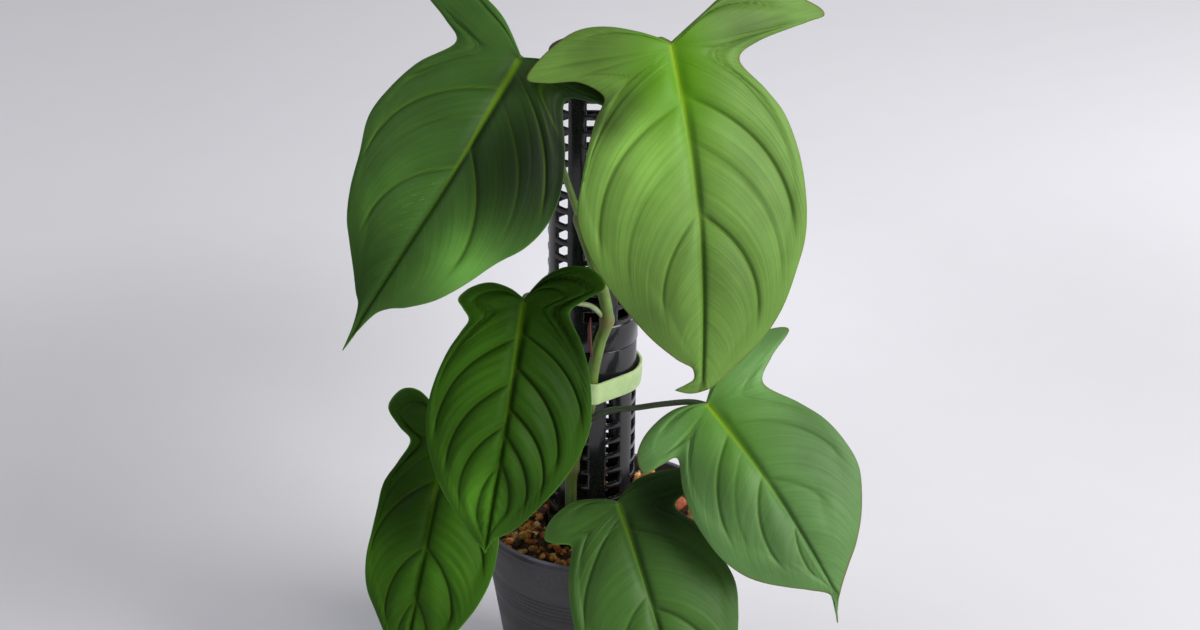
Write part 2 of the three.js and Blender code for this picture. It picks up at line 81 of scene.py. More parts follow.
LEAVES = {
    "leaf_top_left": {
        "base": (-39, -48, 383),
        "apex": (-114, -92, 270),
        "facing": (-0.25, -1, 0.45),
        "bow": 10,
        "sway": 4,
        "half_width": 55,
        "fold": (8, 10),
        "lobe_lift": (-6, -6),
        "tip": (-1, 162),
        "green": "shade_green",
        "arch": ((3.4, 0.3), (6.0, 0.5)),
        "pillow": 1.7,
        "panel": 8,
        "patches": [
            (33, 36, 25, 36, -2.8), (34, 97, 22, 28, 1.6), (-5, 122, 9, 22, -0.7),
            (-18, 80, 20, 30, 0.5),
        ],
        "ripple": 0.07,
        "rows": [
            (139, 1.5, 150, 1.5, 149), (120, 4, 139, 5, 138), (90, 8, 134, 10, 132),
            (58, 14, 126, 17, 127), (34, 23, 115, 27, 117), (18, 30, 106, 35, 104),
            (8, 36, 93, 43, 87), (3, 41, 77, 51, 73), (0, 47, 60, 54, 58), (0, 46, 44, 51, 42),
            (0, 41, 26, 43, 26), (0, 31, 8, 29, 5), (0, 43, 1, 40, -2), (0, 61, -5, 53, -5),
            (0, 78, -14, 62, -10), (0, 61, -21, 50, -14), (0, 42, -19, 33, -13),
            (0, 20, -14, 15, -9),
        ],
        "veins": [
            (0, 6.25, 7.5, 0.98, 1), (0, 4, 4.25, 0.85, 1), (1, 7.75, 8.5, 0.95, 1),
            (1, 4.5, 4.5, 0.85, 0.9), (0, 9.5, 9.6, 0.8, 0.35), (1, 10, 10, 0.8, 0.4),
            (0, 14.6, 14.4, 0.85, 0.5), (1, 14.6, 14.4, 0.85, 0.5), (0, 5.2, 6, 0.9, 0.3),
            (1, 6, 6.4, 0.9, 0.35),
        ],
        "petiole": [
            (-10, -28, 293), (-13, -30.5, 303), (-17, -34, 317), (-26, -34, 345), (-34, -34.5, 368),
            (-38.5, -39, 381), (-39.5, -49, 383),
        ],
    },
    "leaf_top_right": {
        "base": (33, -62, 395),
        "apex": (48, -108, 242),
        "facing": (0.1, -1, 0.45),
        "bow": 12,
        "sway": 4,
        "half_width": 58,
        "fold": (8, 8),
        "lobe_lift": (-8, 4),
        "tip": (-13, 162),
        "green": "sun_green",
        "arch": ((3.6, 0.3), (3.6, 0.3)),
        "pillow": 2.0,
        "panel": 8.5,
        "patches": [
            (-20, 44, 20, 26, 0.95), (-12, 14, 7, 6, -0.8), (-22, 22, 8, 7, -1.3),
            (-34, 31, 9, 8, -1.6), (24, 28, 15, 15, 0.25), (-20, 118, 16, 24, -0.6),
            (36, -8, 20, 14, -0.5), (-38, 2, 20, 12, -0.4), (15, 118, 14, 22, -0.3),
            (8, 14, 18, 18, -0.3),
        ],
        "ripple": 0.09,
        "rows": [
            (158, 8, 160.3, -6, 164.3), (154, 3.5, 157.5, 2, 163.5), (146, 4, 152, 8, 160),
            (118, 8, 149, 15, 154), (84, 12, 146, 24, 147), (56, 22, 136, 34, 137),
            (36, 31, 124, 42, 125), (22, 40, 110, 49, 109), (12, 48, 93, 54, 95),
            (5, 52, 76, 56, 78), (2, 49, 60, 55, 57), (0.7, 44, 43, 50, 37), (0, 39, 30, 42, 24),
            (0, 34, 20, 31, 9), (0, 45, 12, 42, 1), (0, 60, 11, 68, -5.6), (0, 69, 8, 75, -7.6),
            (0, 58, -3, 69.5, -13.6), (0, 44, -11, 48, -24), (0, 30, -12, 31, -23),
            (0, 14, -8, 14, -12),
        ],
        "veins": [
            (1, 8, 7.75, 0.9, 1), (1, 5.25, 5, 0.9, 1), (0, 7.75, 8.25, 0.97, 1),
            (0, 5.25, 4.75, 0.75, 0.9), (0, 11.75, 10.75, 0.85, 1.6), (0, 16, 15.6, 0.85, 0.6),
            (0, 17.4, 17.4, 0.9, 0.6), (1, 16.2, 16, 0.9, 0.6), (1, 14.6, 14.6, 0.8, 0.6),
            (1, 17.6, 17.6, 0.85, 0.4), (0, 6.4, 6.6, 0.9, 0.35), (1, 6.6, 6.4, 0.9, 0.4),
            (1, 10.4, 10.4, 0.9, 0.35), (0, 9.6, 9.6, 0.9, 0.3),
        ],
        "petiole": [
            (-9, -28.5, 300), (-5, -29.5, 309), (3, -30, 325), (14, -33, 352), (22, -40, 380),
            (27, -50, 394), (33, -62, 395.5),
        ],
    },
    "leaf_mid_left": {
        "base": (-38, -58, 261),
        "apex": (-57, -90, 146),
        "facing": (-0.05, -1, 0.5),
        "bow": 9,
        "sway": 1,
        "half_width": 42,
        "fold": (5, 5),
        "lobe_lift": (0, 0),
        "tip": (0, 128),
        "green": "deep_green",
        "arch": ((3.0, 0.3), (3.2, 0.3)),
        "pillow": 2.6,
        "panel": 4,
        "patches": [
            (-16, 20, 14, 30, 0.7), (-8, 98, 14, 20, 1.2), (14, 92, 14, 18, -0.65),
            (24, 40, 12, 30, -0.4),
        ],
        "stalk": ("pale", 0.72),
        "ripple": 0.3,
        "rows": [
            (118, 1.5, 125, 1.2, 124), (106, 5, 122, 4, 119), (84, 11, 115, 11, 114),
            (64, 18, 107, 18, 106), (46, 25, 98, 25, 96), (30, 31, 87, 32, 85),
            (16, 36, 74, 38, 72), (6, 38, 61, 42, 57), (2, 37, 46, 41, 43), (0.6, 33, 30, 37, 27),
            (0, 28, 19, 31, 14), (0, 25, 12, 23, 1), (0, 29, 7, 30, -7), (0, 32, 3, 38, -14),
            (0, 27, -3, 31, -21), (0, 18, -7, 19, -21), (0, 8, -6, 8, -14),
        ],
        "veins": [
            (0, 7, 6.25, 0.95, 1), (0, 5.5, 4.75, 0.9, 1), (0, 4.25, 3.5, 0.95, 1),
            (0, 3.2, 1.9, 0.75, 0.8), (1, 7.25, 7.5, 0.93, 1), (1, 6, 5.25, 0.9, 1),
            (1, 4.75, 4.5, 0.95, 1), (1, 4, 3.3, 0.85, 0.9), (1, 3.3, 2, 0.7, 0.7),
            (0, 8.6, 8.6, 0.9, 0.4), (1, 8.9, 9.2, 0.9, 0.4), (0, 12.6, 12.6, 0.85, 0.5),
            (1, 12.8, 12.8, 0.85, 0.4),
        ],
        "petiole": [
            (3, -28, 238), (-4.5, -31, 247), (-11.5, -36, 251), (-22, -42, 255), (-32, -47, 261),
            (-37, -52, 262.5), (-38.5, -58.5, 261),
        ],
    },
    "leaf_low_left": {
        "base": (-79, -34, 174),
        "apex": (-101, -70, 64),
        "facing": (-0.2, -1, 0.4),
        "bow": 8,
        "sway": 1,
        "half_width": 40,
        "fold": (5, 5),
        "lobe_lift": (0, 0),
        "tip": (0, 136),
        "green": "deep_green",
        "arch": ((2.6, 0.3), (2.6, 0.3)),
        "pillow": 2.4,
        "panel": 5.5,
        "patches": [
            (-12, 32, 14, 26, -0.7), (-22, -10, 12, 12, -0.3), (24, 56, 12, 24, 0.4),
            (13, 46, 9, 26, 0.7), (-26, 68, 7, 14, 0.8),
        ],
        "ripple": 0.25,
        "rows": [
            (115, 2, 130, 2.5, 131), (100, 7, 119, 11, 118), (80, 12, 107, 19, 105),
            (60, 19, 95, 27, 92), (42, 25, 85, 33, 80), (26, 28, 73, 37, 67), (12, 28, 58, 38, 54),
            (4, 27.5, 43, 37, 42), (0, 27, 29, 33, 30), (0, 22, 17, 27, 17), (0, 18, 5, 18, 5),
            (0, 26, -1, 23, -3), (0, 34, -9, 28, -12), (0, 29, -19, 23, -18), (0, 19, -20, 12, -17),
            (0, 7, -11, 4, -9),
        ],
        "veins": [
            (1, 4.25, 3, 0.9, 1), (0, 4.25, 3, 0.9, 1), (1, 6.2, 5.3, 0.9, 1),
            (0, 6.4, 5.6, 0.9, 0.9), (1, 2.8, 1.8, 0.8, 0.8), (0, 2.8, 1.8, 0.8, 0.7),
            (0, 11.8, 11.8, 0.85, 0.5), (1, 11.8, 11.8, 0.85, 0.5), (0, 8, 7.8, 0.9, 0.4),
            (1, 8, 7.8, 0.9, 0.4),
        ],
        "petiole": [
            (-15, -27, 153), (-24, -27, 161), (-40, -27, 170), (-58, -26, 175), (-71, -25.5, 178),
            (-78, -28, 177), (-79.5, -34.5, 174),
        ],
    },
    "leaf_low_right": {
        "base": (54, -52, 202),
        "apex": (115, -94, 122),
        "facing": (0.1, -1, 0.5),
        "bow": 8,
        "sway": 2,
        "half_width": 45,
        "fold": (5, 5),
        "lobe_lift": (0, 0),
        "tip": (-7, 126),
        "green": "fresh_green",
        "arch": ((2.6, 0.3), (2.6, 0.3)),
        "pillow": 1.4,
        "panel": 7,
        "patches": [
            (-26, 4, 14, 12, 0.65), (26, 2, 22, 20, 0.7), (-20, 32, 12, 22, -0.7),
            (34, 50, 12, 22, -0.3), (-10, 74, 12, 18, -0.4),
        ],
        "stalk": ("dark", 0.9),
        "ripple": 0.07,
        "rows": [
            (107, 4.5, 121, -3.5, 120), (101, 2.5, 112, 4, 112), (84, 10, 104, 14, 104),
            (64, 19, 96, 22, 98), (46, 28, 87, 31, 89), (30, 34, 78, 39, 78), (16, 38, 66, 45, 66),
            (6, 39, 52, 46, 52), (2, 38, 39, 44, 38), (0.6, 34, 26, 38, 24), (0, 28, 13, 29, 6),
            (0, 37, 11, 41, -3), (0, 46, 10, 56, -9), (0, 44, 1, 47, -15), (0, 33, -6, 31, -17),
            (0, 16, -8, 14, -12),
        ],
        "veins": [
            (1, 7.25, 6.25, 0.92, 0.5), (1, 5, 3.75, 0.6, 0.45), (0, 7, 5.25, 0.8, 1.1),
            (0, 5.2, 3.2, 0.8, 1.1), (0, 3.6, 1.9, 0.7, 0.9), (1, 8.6, 8.8, 0.8, 0.3),
            (0, 11.6, 11.8, 0.85, 0.8), (1, 11.8, 11.8, 0.85, 0.5), (0, 6.2, 4.3, 0.75, 0.4),
        ],
        "petiole": [
            (-8.4, -27.4, 180), (-3, -32.5, 186), (4, -34.5, 190.5), (16, -37, 193), (32, -42, 198),
            (46, -46.5, 201.3), (54.5, -52.5, 202),
        ],
    },
    "leaf_front": {
        "base": (9, -52, 145),
        "apex": (41, -104, 53),
        "facing": (0, -1, 0.6),
        "bow": 12,
        "sway": 1,
        "half_width": 42,
        "fold": (5, 5),
        "lobe_lift": (0, 0),
        "tip": (0, 127),
        "green": "front_green",
        "arch": ((3.0, 0.3), (3.0, 0.3)),
        "pillow": 1.5,
        "panel": 7,
        "patches": [
            (22, 6, 20, 18, -1.5), (-21, 1, 12, 10, 0.3),
        ],
        "ripple": 0.06,
        "rows": [
            (108, 4, 122, 4, 123), (94, 11, 115, 13, 117), (74, 20, 106, 22, 108),
            (54, 29, 95, 30, 97), (36, 36, 81, 37, 83), (20, 39, 66, 42, 69), (8, 39, 51, 45, 55),
            (2, 37, 36, 43, 42), (0, 33, 23, 38.5, 25), (0, 29, 13, 27.5, 9), (0, 37, 9, 38, 3),
            (0, 41, 5, 55, 1), (0, 35, -3, 48, -6), (0, 22, -8, 31, -10), (0, 9, -6, 13, -10),
        ],
        "veins": [
            (0, 7.5, 5, 0.85, 1.1), (1, 4, 3.25, 0.7, 0.9), (0, 4.4, 3.2, 0.8, 0.8),
            (1, 6.6, 5.6, 0.9, 0.6), (0, 10.8, 10.9, 0.85, 0.5), (1, 11.9, 11.9, 0.85, 0.4),
        ],
        "petiole": [
            (-15, -27, 118), (-10, -31, 121), (-3, -36, 127), (3, -41, 135), (7, -46, 142),
            (9.2, -52.5, 145),
        ],
    },
}

# The stem with its nodes and a dry sheath, the pole with its slots, and the tie, in millimetres and
# degrees.

VINE = [
    (-14, -27, 88), (-15, -27, 110), (-15.5, -27, 132), (-15, -27, 152), (-9, -27.4, 178),
    (-5.2, -27.4, 192), (-4.4, -27.5, 206), (-0.8, -27.8, 225), (3, -28, 238), (1, -28, 254),
    (-5, -28, 274), (-10, -28, 293), (-8, -28.5, 304),
]
VINE_NODES = [118, 153, 180, 238, 293]
VINE_TOP = 304.4
DARKER_STEM_TOP = 250
SHEATH = [
    (-4.6, -31.0, 219), (-5.4, -31.8, 225), (-5.9, -31.9, 232), (-5.7, -31.4, 238), (-5.2, -31, 241),
]
SHEATH_RADII = [0.5, 1.1, 1.3, 0.8, 0.2]
POLE = {"x": -6.8, "radius": 23, "wall": 2.2, "bottom": 34, "joint": 217, "top": 372, "lean": 0.6}
SLOT = {"columns": 8, "pitch": 8.65, "height": 5.7, "width": 8.2}
LOWER_ROWS = {"first": 117.5, "count": 9, "turn": 30, "back_shift": 0}
UPPER_ROWS = {"first": 236.4, "count": 14, "turn": 0, "back_shift": 0.35}
TIE = {"height": 198.5, "width": 11.5, "thickness": 1.6, "tilt": 4, "reach": 27.5, "clearance": 1.3}

# The pot, its substrate and the red chip, in millimetres. The loose grains keep clear of the pole's
# wall, the vine, the chip and the pot.

# The top of the lip, from the last height here up, is painted paler as a highlight.
POT = {
    "foot": 46.5, "under_lip": 63, "lip_from": 107, "wall": 1.8, "ring_depth": 0.28, "ring_half": 0.8,
    "highlight_from": 113.7,
}
POT_RINGS = (20, 69, 71.4, 77.6, 80, 82.4, 84.8, 87.2)
DRAINAGE = {"count": 6, "radius": 4, "from_centre": 31}
SUBSTRATE = {
    "top": 107, "wave": 1.1, "spread": 60, "radius": 60.2, "pole_shift": 1.1, "pole_wall": 21.9,
    "pole_clear": 1.6, "vine": (-14.9, -27), "vine_clear": 3.6, "chip_clear": 8,
}
GRAIN_SIZES = (1.2, 1.5, 1.9, 2.3, 2.8)
CHIP = {"place": (41, 13, 110), "radius": 5.2, "turn": 0.6, "shape": (1.15, 0.8, 0.75, 1)}

# Finishes of the leaves. rib is the share of rib green in the midrib, heart the glow round the
# junction, shade the dark side of the grooves, and margin a gain on the leaf's green, or None for the
# thin red margin of a young leaf.

LEAF_FINISH = {
    "deep_green": {
        "rib": 0.45, "heart": 0.0, "shade": 0.95, "scars": 0.0, "streaks": 0.4, "specular": 0.06,
        "margin": 4.0,
    },
    "shade_green": {
        "rib": 0.75, "heart": 0.0, "shade": 0.75, "scars": 0.6, "streaks": 0.4, "specular": 0.1,
        "margin": 2.4,
    },
    "fresh_green": {
        "rib": 0.9, "heart": 0.5, "shade": 0.75, "scars": 0.0, "streaks": 0.4, "specular": 0.16,
        "margin": None,
    },
    "front_green": {
        "rib": 0.4, "heart": 0.0, "shade": 0.75, "scars": 0.0, "streaks": 0.4, "specular": 0.16,
        "margin": 2.4,
    },
    "sun_green": {
        "rib": 1.0, "heart": 0.95, "shade": 0.95, "scars": 0.45, "streaks": 0.5, "specular": 0.16,
        "margin": None,
    },
}

# Tones in linear red, green and blue. A grain's tone is the share of the draw from which it holds,
# and the colour.

RED_MARGIN = (0.13, 0.045, 0.015, 1)
SCAR_TONE = (0.24, 0.36, 0.15, 1)
GROOVE_SHADE = (0.22, 0.28, 0.13, 1)
HEART_TONE = (0.5, 0.78, 0.5, 1)
LOWER_STEM_TONE = (0.4, 0.42, 0.2, 1)
DUST_TONE = (0.42, 0.4, 0.4, 1)
# Paler plastic painted on the top of the pot's lip as a highlight.
PAINTED_LIP_HIGHLIGHT = (0.19, 0.18, 0.23, 1)
GRAIN_TONES = (
    (0.0, (0.09, 0.04, 0.02)), (0.08, (0.40, 0.13, 0.03)), (0.22, (0.85, 0.37, 0.06)),
    (0.48, (0.98, 0.52, 0.11)), (0.68, (0.66, 0.21, 0.04)), (0.80, (0.10, 0.05, 0.03)),
    (0.87, (0.95, 0.74, 0.38)), (0.95, (0.85, 0.29, 0.08)),
)

# Studio, in metres, and the camera's sensor in millimetres. Each of the painted pools of light and
# shade on the floor is place, width, depth and change of brightness. A light is name, place, width,
# height, its power in the settings, and tint, and it is aimed at the plant's middle.

FLOOR_SIZE = 30
PAINTED_FLOOR_POOLS = (
    (-0.27, 0.43, 0.3, 0.26, -0.16), (0.02, 0.52, 0.26, 0.34, 0.13),
    (0.42, 0.42, 0.26, 0.4, -0.1), (-0.26, 0.08, 0.3, 0.18, 0.09),
)
PLANT_MIDDLE = (0, 0, 0.2)
LIGHTS = (
    ("key_light", (2.42, -1.5, 1.66), 2.0, 2.4, "key_power", (1, 0.99, 0.975)),
    ("fill_light", (-2.88, -0.96, 2.92), 1.9, 1.9, "fill_power", (0.96, 0.975, 1)),
    ("front_light", (1.6, -1.9, 1.1), 0.9, 0.9, "front_power", (1, 1, 1)),
    ("edge_light", (1.3, 0.62, 0.6), 0.3, 0.8, "edge_power", (1, 0.99, 0.98)),
)
ROOM_TINT = (0.96, 0.97, 1.0, 1)
SENSOR_WIDTH = 36


# Properties


class PlantSizes(bpy.types.PropertyGroup):
    blade_thickness: bpy.props.FloatProperty(
        name="Blade thickness", description="Thickness of a leaf blade",
        default=0.0008, unit="LENGTH")
    petiole_radius: bpy.props.FloatProperty(
        name="Petiole radius", description="Radius of a leaf stalk", default=0.0017, unit="LENGTH")
    vine_radius: bpy.props.FloatProperty(
        name="Vine radius", description="Radius of the climbing stem",
        default=0.0031, unit="LENGTH")
    vein_width: bpy.props.FloatProperty(
        name="Vein groove", description="Half width of a side vein's groove",
        default=0.0012, unit="LENGTH")
    slot_round: bpy.props.FloatProperty(
        name="Slot rounding", description="Rounding of the pole's slot edges",
        default=0.0007, unit="LENGTH")
    grains: bpy.props.IntProperty(
        name="Grains", description="Number of loose grains on the substrate", default=1500, min=0)


class PlantColours(bpy.types.PropertyGroup):
    deep_green: bpy.props.FloatVectorProperty(
        name="Deep green", description="Older leaves", subtype="COLOR", size=3,
        default=(0.026, 0.080, 0.005))
    shade_green: bpy.props.FloatVectorProperty(
        name="Shade green", description="Upper left leaf", subtype="COLOR", size=3,
        default=(0.040, 0.102, 0.017))
    fresh_green: bpy.props.FloatVectorProperty(
        name="Fresh green", description="Lower right leaf", subtype="COLOR", size=3,
        default=(0.088, 0.192, 0.054))
    front_green: bpy.props.FloatVectorProperty(
        name="Front green", description="Leaf in front of the pot", subtype="COLOR", size=3,
        default=(0.045, 0.114, 0.019))
    sun_green: bpy.props.FloatVectorProperty(
        name="Sun green", description="Upper right leaf", subtype="COLOR", size=3,
        default=(0.118, 0.232, 0.040))
    rib_green: bpy.props.FloatVectorProperty(
        name="Rib green", description="Midribs near the stalk", subtype="COLOR", size=3,
        default=(0.165, 0.31, 0.003))
    stem_green: bpy.props.FloatVectorProperty(
        name="Stem green", description="Vine and petioles", subtype="COLOR", size=3,
        default=(0.155, 0.285, 0.04))
    pot_grey: bpy.props.FloatVectorProperty(
        name="Pot grey", description="Pot plastic", subtype="COLOR", size=3,
        default=(0.016, 0.0155, 0.0195))
    pole_black: bpy.props.FloatVectorProperty(
        name="Pole black", description="Pole plastic", subtype="COLOR", size=3,
        default=(0.009, 0.009, 0.011))
    tie_green: bpy.props.FloatVectorProperty(
        name="Tie green", description="Soft tie", subtype="COLOR", size=3,
        default=(0.42, 0.58, 0.25))
    clay_red: bpy.props.FloatVectorProperty(
        name="Clay red", description="Clay chip", subtype="COLOR", size=3,
        default=(0.55, 0.13, 0.06))


class StudioSettings(bpy.types.PropertyGroup):
    camera_place: bpy.props.FloatVectorProperty(
        name="Camera", description="Where the camera stands", subtype="XYZ", unit="LENGTH", size=3,
        default=(-0.0005, -1.2701, 0.8219))
    pitch: bpy.props.FloatProperty(
        name="Pitch", description="How far the camera looks down", subtype="ANGLE",
        default=math.radians(25.067))
    lens: bpy.props.FloatProperty(
        name="Lens", description="Focal length on a 36 mm sensor", default=81.9, unit="CAMERA")
    key_power: bpy.props.FloatProperty(
        name="Key light", description="Power of the large light at the right",
        default=128.0, unit="POWER")
    fill_power: bpy.props.FloatProperty(
        name="Fill light", description="Power of the weak light at the left",
        default=25.0, unit="POWER")
    edge_power: bpy.props.FloatProperty(
        name="Edge light", description="Power of the light behind at the right",
        default=4.0, unit="POWER")
    front_power: bpy.props.FloatProperty(
        name="Front light", description="Power of the weak light beside the camera",
        default=5.0, unit="POWER")
    sky: bpy.props.FloatProperty(
        name="Room light", description="Strength of the even light of the room",
        default=0.27, min=0)
    floor_colour: bpy.props.FloatVectorProperty(
        name="Floor", description="Colour of the pale floor", subtype="COLOR", size=3,
        default=(0.82, 0.815, 0.86))


def sizes():
    return bpy.context.scene.plant_sizes


def colours():
    return bpy.context.scene.plant_colours


def studio():
    return bpy.context.scene.plant_studio


# Modelling


def deselect():
    if bpy.context.object and bpy.context.object.mode != "OBJECT":
        bpy.ops.object.mode_set(mode="OBJECT")
    bpy.ops.object.select_all(action="DESELECT")
    bpy.context.tool_settings.mesh_select_mode = (True, False, False)


def take(*objects):
    deselect()
    for obj in objects:
        obj.select_set(True)
    bpy.context.view_layer.objects.active = objects[0]


def place_in_mesh(obj):
    take(obj)
    bpy.ops.object.transform_apply(location=True, rotation=True, scale=True)


def modifier(obj, name, kind, **values):
    """Adds a modifier with the given values and applies it."""
    take(obj)
    step = obj.modifiers.new(name, kind)
    for key, value in values.items():
        setattr(step, key, value)
    bpy.ops.object.modifier_apply(modifier=step.name)


def joined(objects):
    take(*objects)
    if len(objects) > 1:
        bpy.ops.object.join()
    return bpy.context.object


def settle(obj, name, node):
    """Names a finished piece and lets it stand for its node of the frame."""
    obj.name = name
    obj.data.name = name
    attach(obj, "root")
    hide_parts(node)


def paint(obj, *materials):
    obj.data.materials.clear()
    for material in materials:
        obj.data.materials.append(material)


def new_mark(obj, name):
    return obj.data.attributes.new(name, "FLOAT", "POINT").data


def turned(profile, around):
    """A ring extruded along a profile of [radius, height] in millimetres and left open at its ends."""
    deselect()
    radius, height = profile[0]
    bpy.ops.mesh.primitive_circle_add(
        vertices=around, radius=radius * MM, location=(0, 0, height * MM), fill_type="NOTHING")
    obj = bpy.context.object
    bpy.ops.object.mode_set(mode="EDIT")
    for (r0, z0), (r1, z1) in zip(profile, profile[1:]):
        bpy.ops.mesh.extrude_region_move(TRANSFORM_OT_translate={"value": (0, 0, (z1 - z0) * MM)})
        grow = r1 / r0
        bpy.ops.transform.resize(value=(grow, grow, 1), center_override=(0, 0, z1 * MM))
    bpy.ops.object.mode_set(mode="OBJECT")
    place_in_mesh(obj)
    return obj


def close_ring(obj, ends="merge"):
    """Joins the two ends of a turned shape, or fills both as flat discs, and turns the faces out."""
    take(obj)
    bpy.ops.object.mode_set(mode="EDIT")
    bpy.ops.mesh.select_all(action="SELECT")
    bpy.ops.mesh.remove_doubles(threshold=2e-6)
    if ends == "fill":
        bpy.ops.mesh.select_all(action="DESELECT")
        bpy.ops.mesh.select_mode(type="EDGE")
        bpy.ops.mesh.select_non_manifold(use_wire=False, use_multi_face=False, use_non_contiguous=False)
        bpy.ops.mesh.edge_face_add()
    bpy.ops.mesh.select_all(action="SELECT")
    bpy.ops.mesh.normals_make_consistent(inside=False)
    bpy.ops.object.mode_set(mode="OBJECT")


def smooth_by(obj, degrees):
    take(obj)
    bpy.ops.object.shade_smooth_by_angle(angle=math.radians(degrees))


def edit_all(obj, *steps):
    """Runs edit mode steps, each an operator and its values, on the whole mesh."""
    take(obj)
    bpy.ops.object.mode_set(mode="EDIT")
    bpy.ops.mesh.select_all(action="SELECT")
    for operator, values in steps:
        operator(**values)
    bpy.ops.object.mode_set(mode="OBJECT")


def through(points, count):
    """Evenly counted points on a smooth curve through the given ones."""
    p = [Vector(point) for point in points]
    p = [p[0] * 2 - p[1]] + p + [p[-1] * 2 - p[-2]]
    result = []
    spans = len(p) - 3
    for n in range(count):
        place = n / (count - 1) * spans
        i = min(int(place), spans - 1)
        a, b, c, d = p[i:i + 4]
        knots = [0.0]
        for first, second in ((a, b), (b, c), (c, d)):
            knots.append(knots[-1] + max((second - first).length, 1e-9) ** 0.5)
        t = knots[1] + (place - i) * (knots[2] - knots[1])
        ab = a.lerp(b, (t - knots[0]) / (knots[1] - knots[0]))
        bc = b.lerp(c, (t - knots[1]) / (knots[2] - knots[1]))
        cd = c.lerp(d, (t - knots[2]) / (knots[3] - knots[2]))
        abc = ab.lerp(bc, (t - knots[0]) / (knots[2] - knots[0]))
        bcd = bc.lerp(cd, (t - knots[1]) / (knots[3] - knots[1]))
        result.append(abc.lerp(bcd, (t - knots[1]) / (knots[2] - knots[1])))
    return result


def stalk(points, radii, sides=2):
    """A round stalk through points in metres, with its radius at each of them."""
    deselect()
    bpy.ops.curve.primitive_nurbs_path_add()
    obj = bpy.context.object
    curve = obj.data
    spline = curve.splines[0]
    spline.points.add(len(points) - len(spline.points))
    for place, point, radius in zip(spline.points, points, radii):
        place.co = (*point, 1)
        place.radius = radius
    spline.order_u = 4
    spline.resolution_u = 1
    spline.use_endpoint_u = True
    curve.bevel_depth = 1
    curve.bevel_resolution = sides
    curve.use_fill_caps = True
    bpy.ops.object.convert(target="MESH")
    obj = bpy.context.object
    bpy.ops.object.shade_smooth()
    return obj


# Leaf blades


def leaf_frame(leaf):
    base = np.array(leaf["base"], float)
    down = np.array(leaf["apex"], float) - base
    length = np.linalg.norm(down)
    down /= length
    across = np.cross(np.array(leaf["facing"], float), down)
    across /= np.linalg.norm(across)
    return base, down, across, np.cross(down, across), length


def vein_ends(leaf, length, side, at):
    """Root along the midrib, and edge across and along, of the vein lines at row positions."""
    sign = (-1, 1)[side]
    table = [(length, *leaf["tip"])]
    table += [(row[0], sign * row[1 + 2 * side], row[2 + 2 * side]) for row in leaf["rows"]]
    table = np.array(table + [(0, *SINUS)], float)
    last = len(table) - 1
    at = np.asarray(at, float)
    i = np.clip(at.astype(int), 0, last - 1)
    t = (at - i)[..., None]
    a, b, c, d = (table[np.clip(i + k, 0, last)] for k in (-1, 0, 1, 2))
    edge = 0.5 * (2 * b + (c - a) * t + (2 * a - 5 * b + 4 * c - d) * t**2
                  + (3 * b - a - 3 * c + d) * t**3)
    root = b + (c - b) * t
    return root[..., 0], edge[..., 1], edge[..., 2]


def on_blade(leaf, length, side, at, t):
    """Across and along of the points at share t of the vein lines at row positions."""
    sign = (-1, 1)[side]
    root, edge_u, edge_v = vein_ends(leaf, length, side, at)
    root_u = leaf["sway"] * np.sin(np.pi * root / length)
    below_lobe = np.clip((edge_v / length - 0.1) / 0.55, 0, 1)
    above_tip = np.clip((length - root) / TIP_REACH, 0, 1)
    bulge = 2 * t * (1 - t) * VEIN_BOW * below_lobe * above_tip
    chord_u, chord_v = edge_u - root_u, edge_v - root
    u = root_u + chord_u * t + sign * chord_v * bulge
    v = root + chord_v * t - sign * chord_u * bulge
    return u, v


def blade_height(leaf, length, u, v):
    s = v / length
    right = u >= 0
    x = u / leaf["half_width"]
    lift = np.where(right, leaf["lobe_lift"][1], leaf["lobe_lift"][0])
    fold = np.where(right, leaf["fold"][1], leaf["fold"][0])
    lobe = np.where(v < 0, lift * np.maximum(-s / 0.35, 0) ** 1.5, 0)
    return leaf["bow"] * 4 * s * (1 - np.abs(s)) - fold * x**2 / (1 + 0.5 * x**2) + lobe


def even_rows(leaf, length, side):
    """Row positions at even distances along the blade, and their distance from the tip."""
    fine = np.linspace(0, len(leaf["rows"]) + 1, 2400)
    lengths = 0
    for t in (0.0, 0.55, 1.0):
        u, v = on_blade(leaf, length, side, fine, t)
        lengths = np.maximum(lengths, np.hypot(np.diff(u), np.diff(v)))
    return fine, np.concatenate([[0], np.cumsum(lengths + 1e-4)])


def beside_rib(leaf, length, u, v):
    """Distance from the midrib, or from the junction with the petiole on the lobes."""
    rib_u = leaf["sway"] * np.sin(np.pi * np.clip(v, 0, length) / length)
    return np.where(v > 0, np.abs(u - rib_u), np.hypot(u, v))


def arch_height(leaf, length, side, t, u, v):
    """The blade's rise beside the midrib, which ends at the tip and at the margin."""
    high, crest = leaf["arch"][side]
    shoulder = beside_rib(leaf, length, u, v) / (crest * leaf["half_width"])
    before_tip = np.clip((length - v) / (0.3 * length), 0, 1)
    return high * shoulder * np.exp(1 - shoulder) * before_tip * (1 - t**5)


def bell(distance, width):
    return np.exp(-((distance / width) ** 2))


def vein_groove(depth, reach, share):
    """How deep a side vein is sunk at shares of its way to the margin."""
    return min(depth, 1) * np.clip((reach - share) / VEIN_FADE, 0, 1) ** 1.5


def off_stalk(u, v):
    """0 at the junction with the petiole, and 1 where the blade has its whole relief."""
    return np.clip(np.hypot(u, v) / PLAIN_RADIUS, 0, 1)


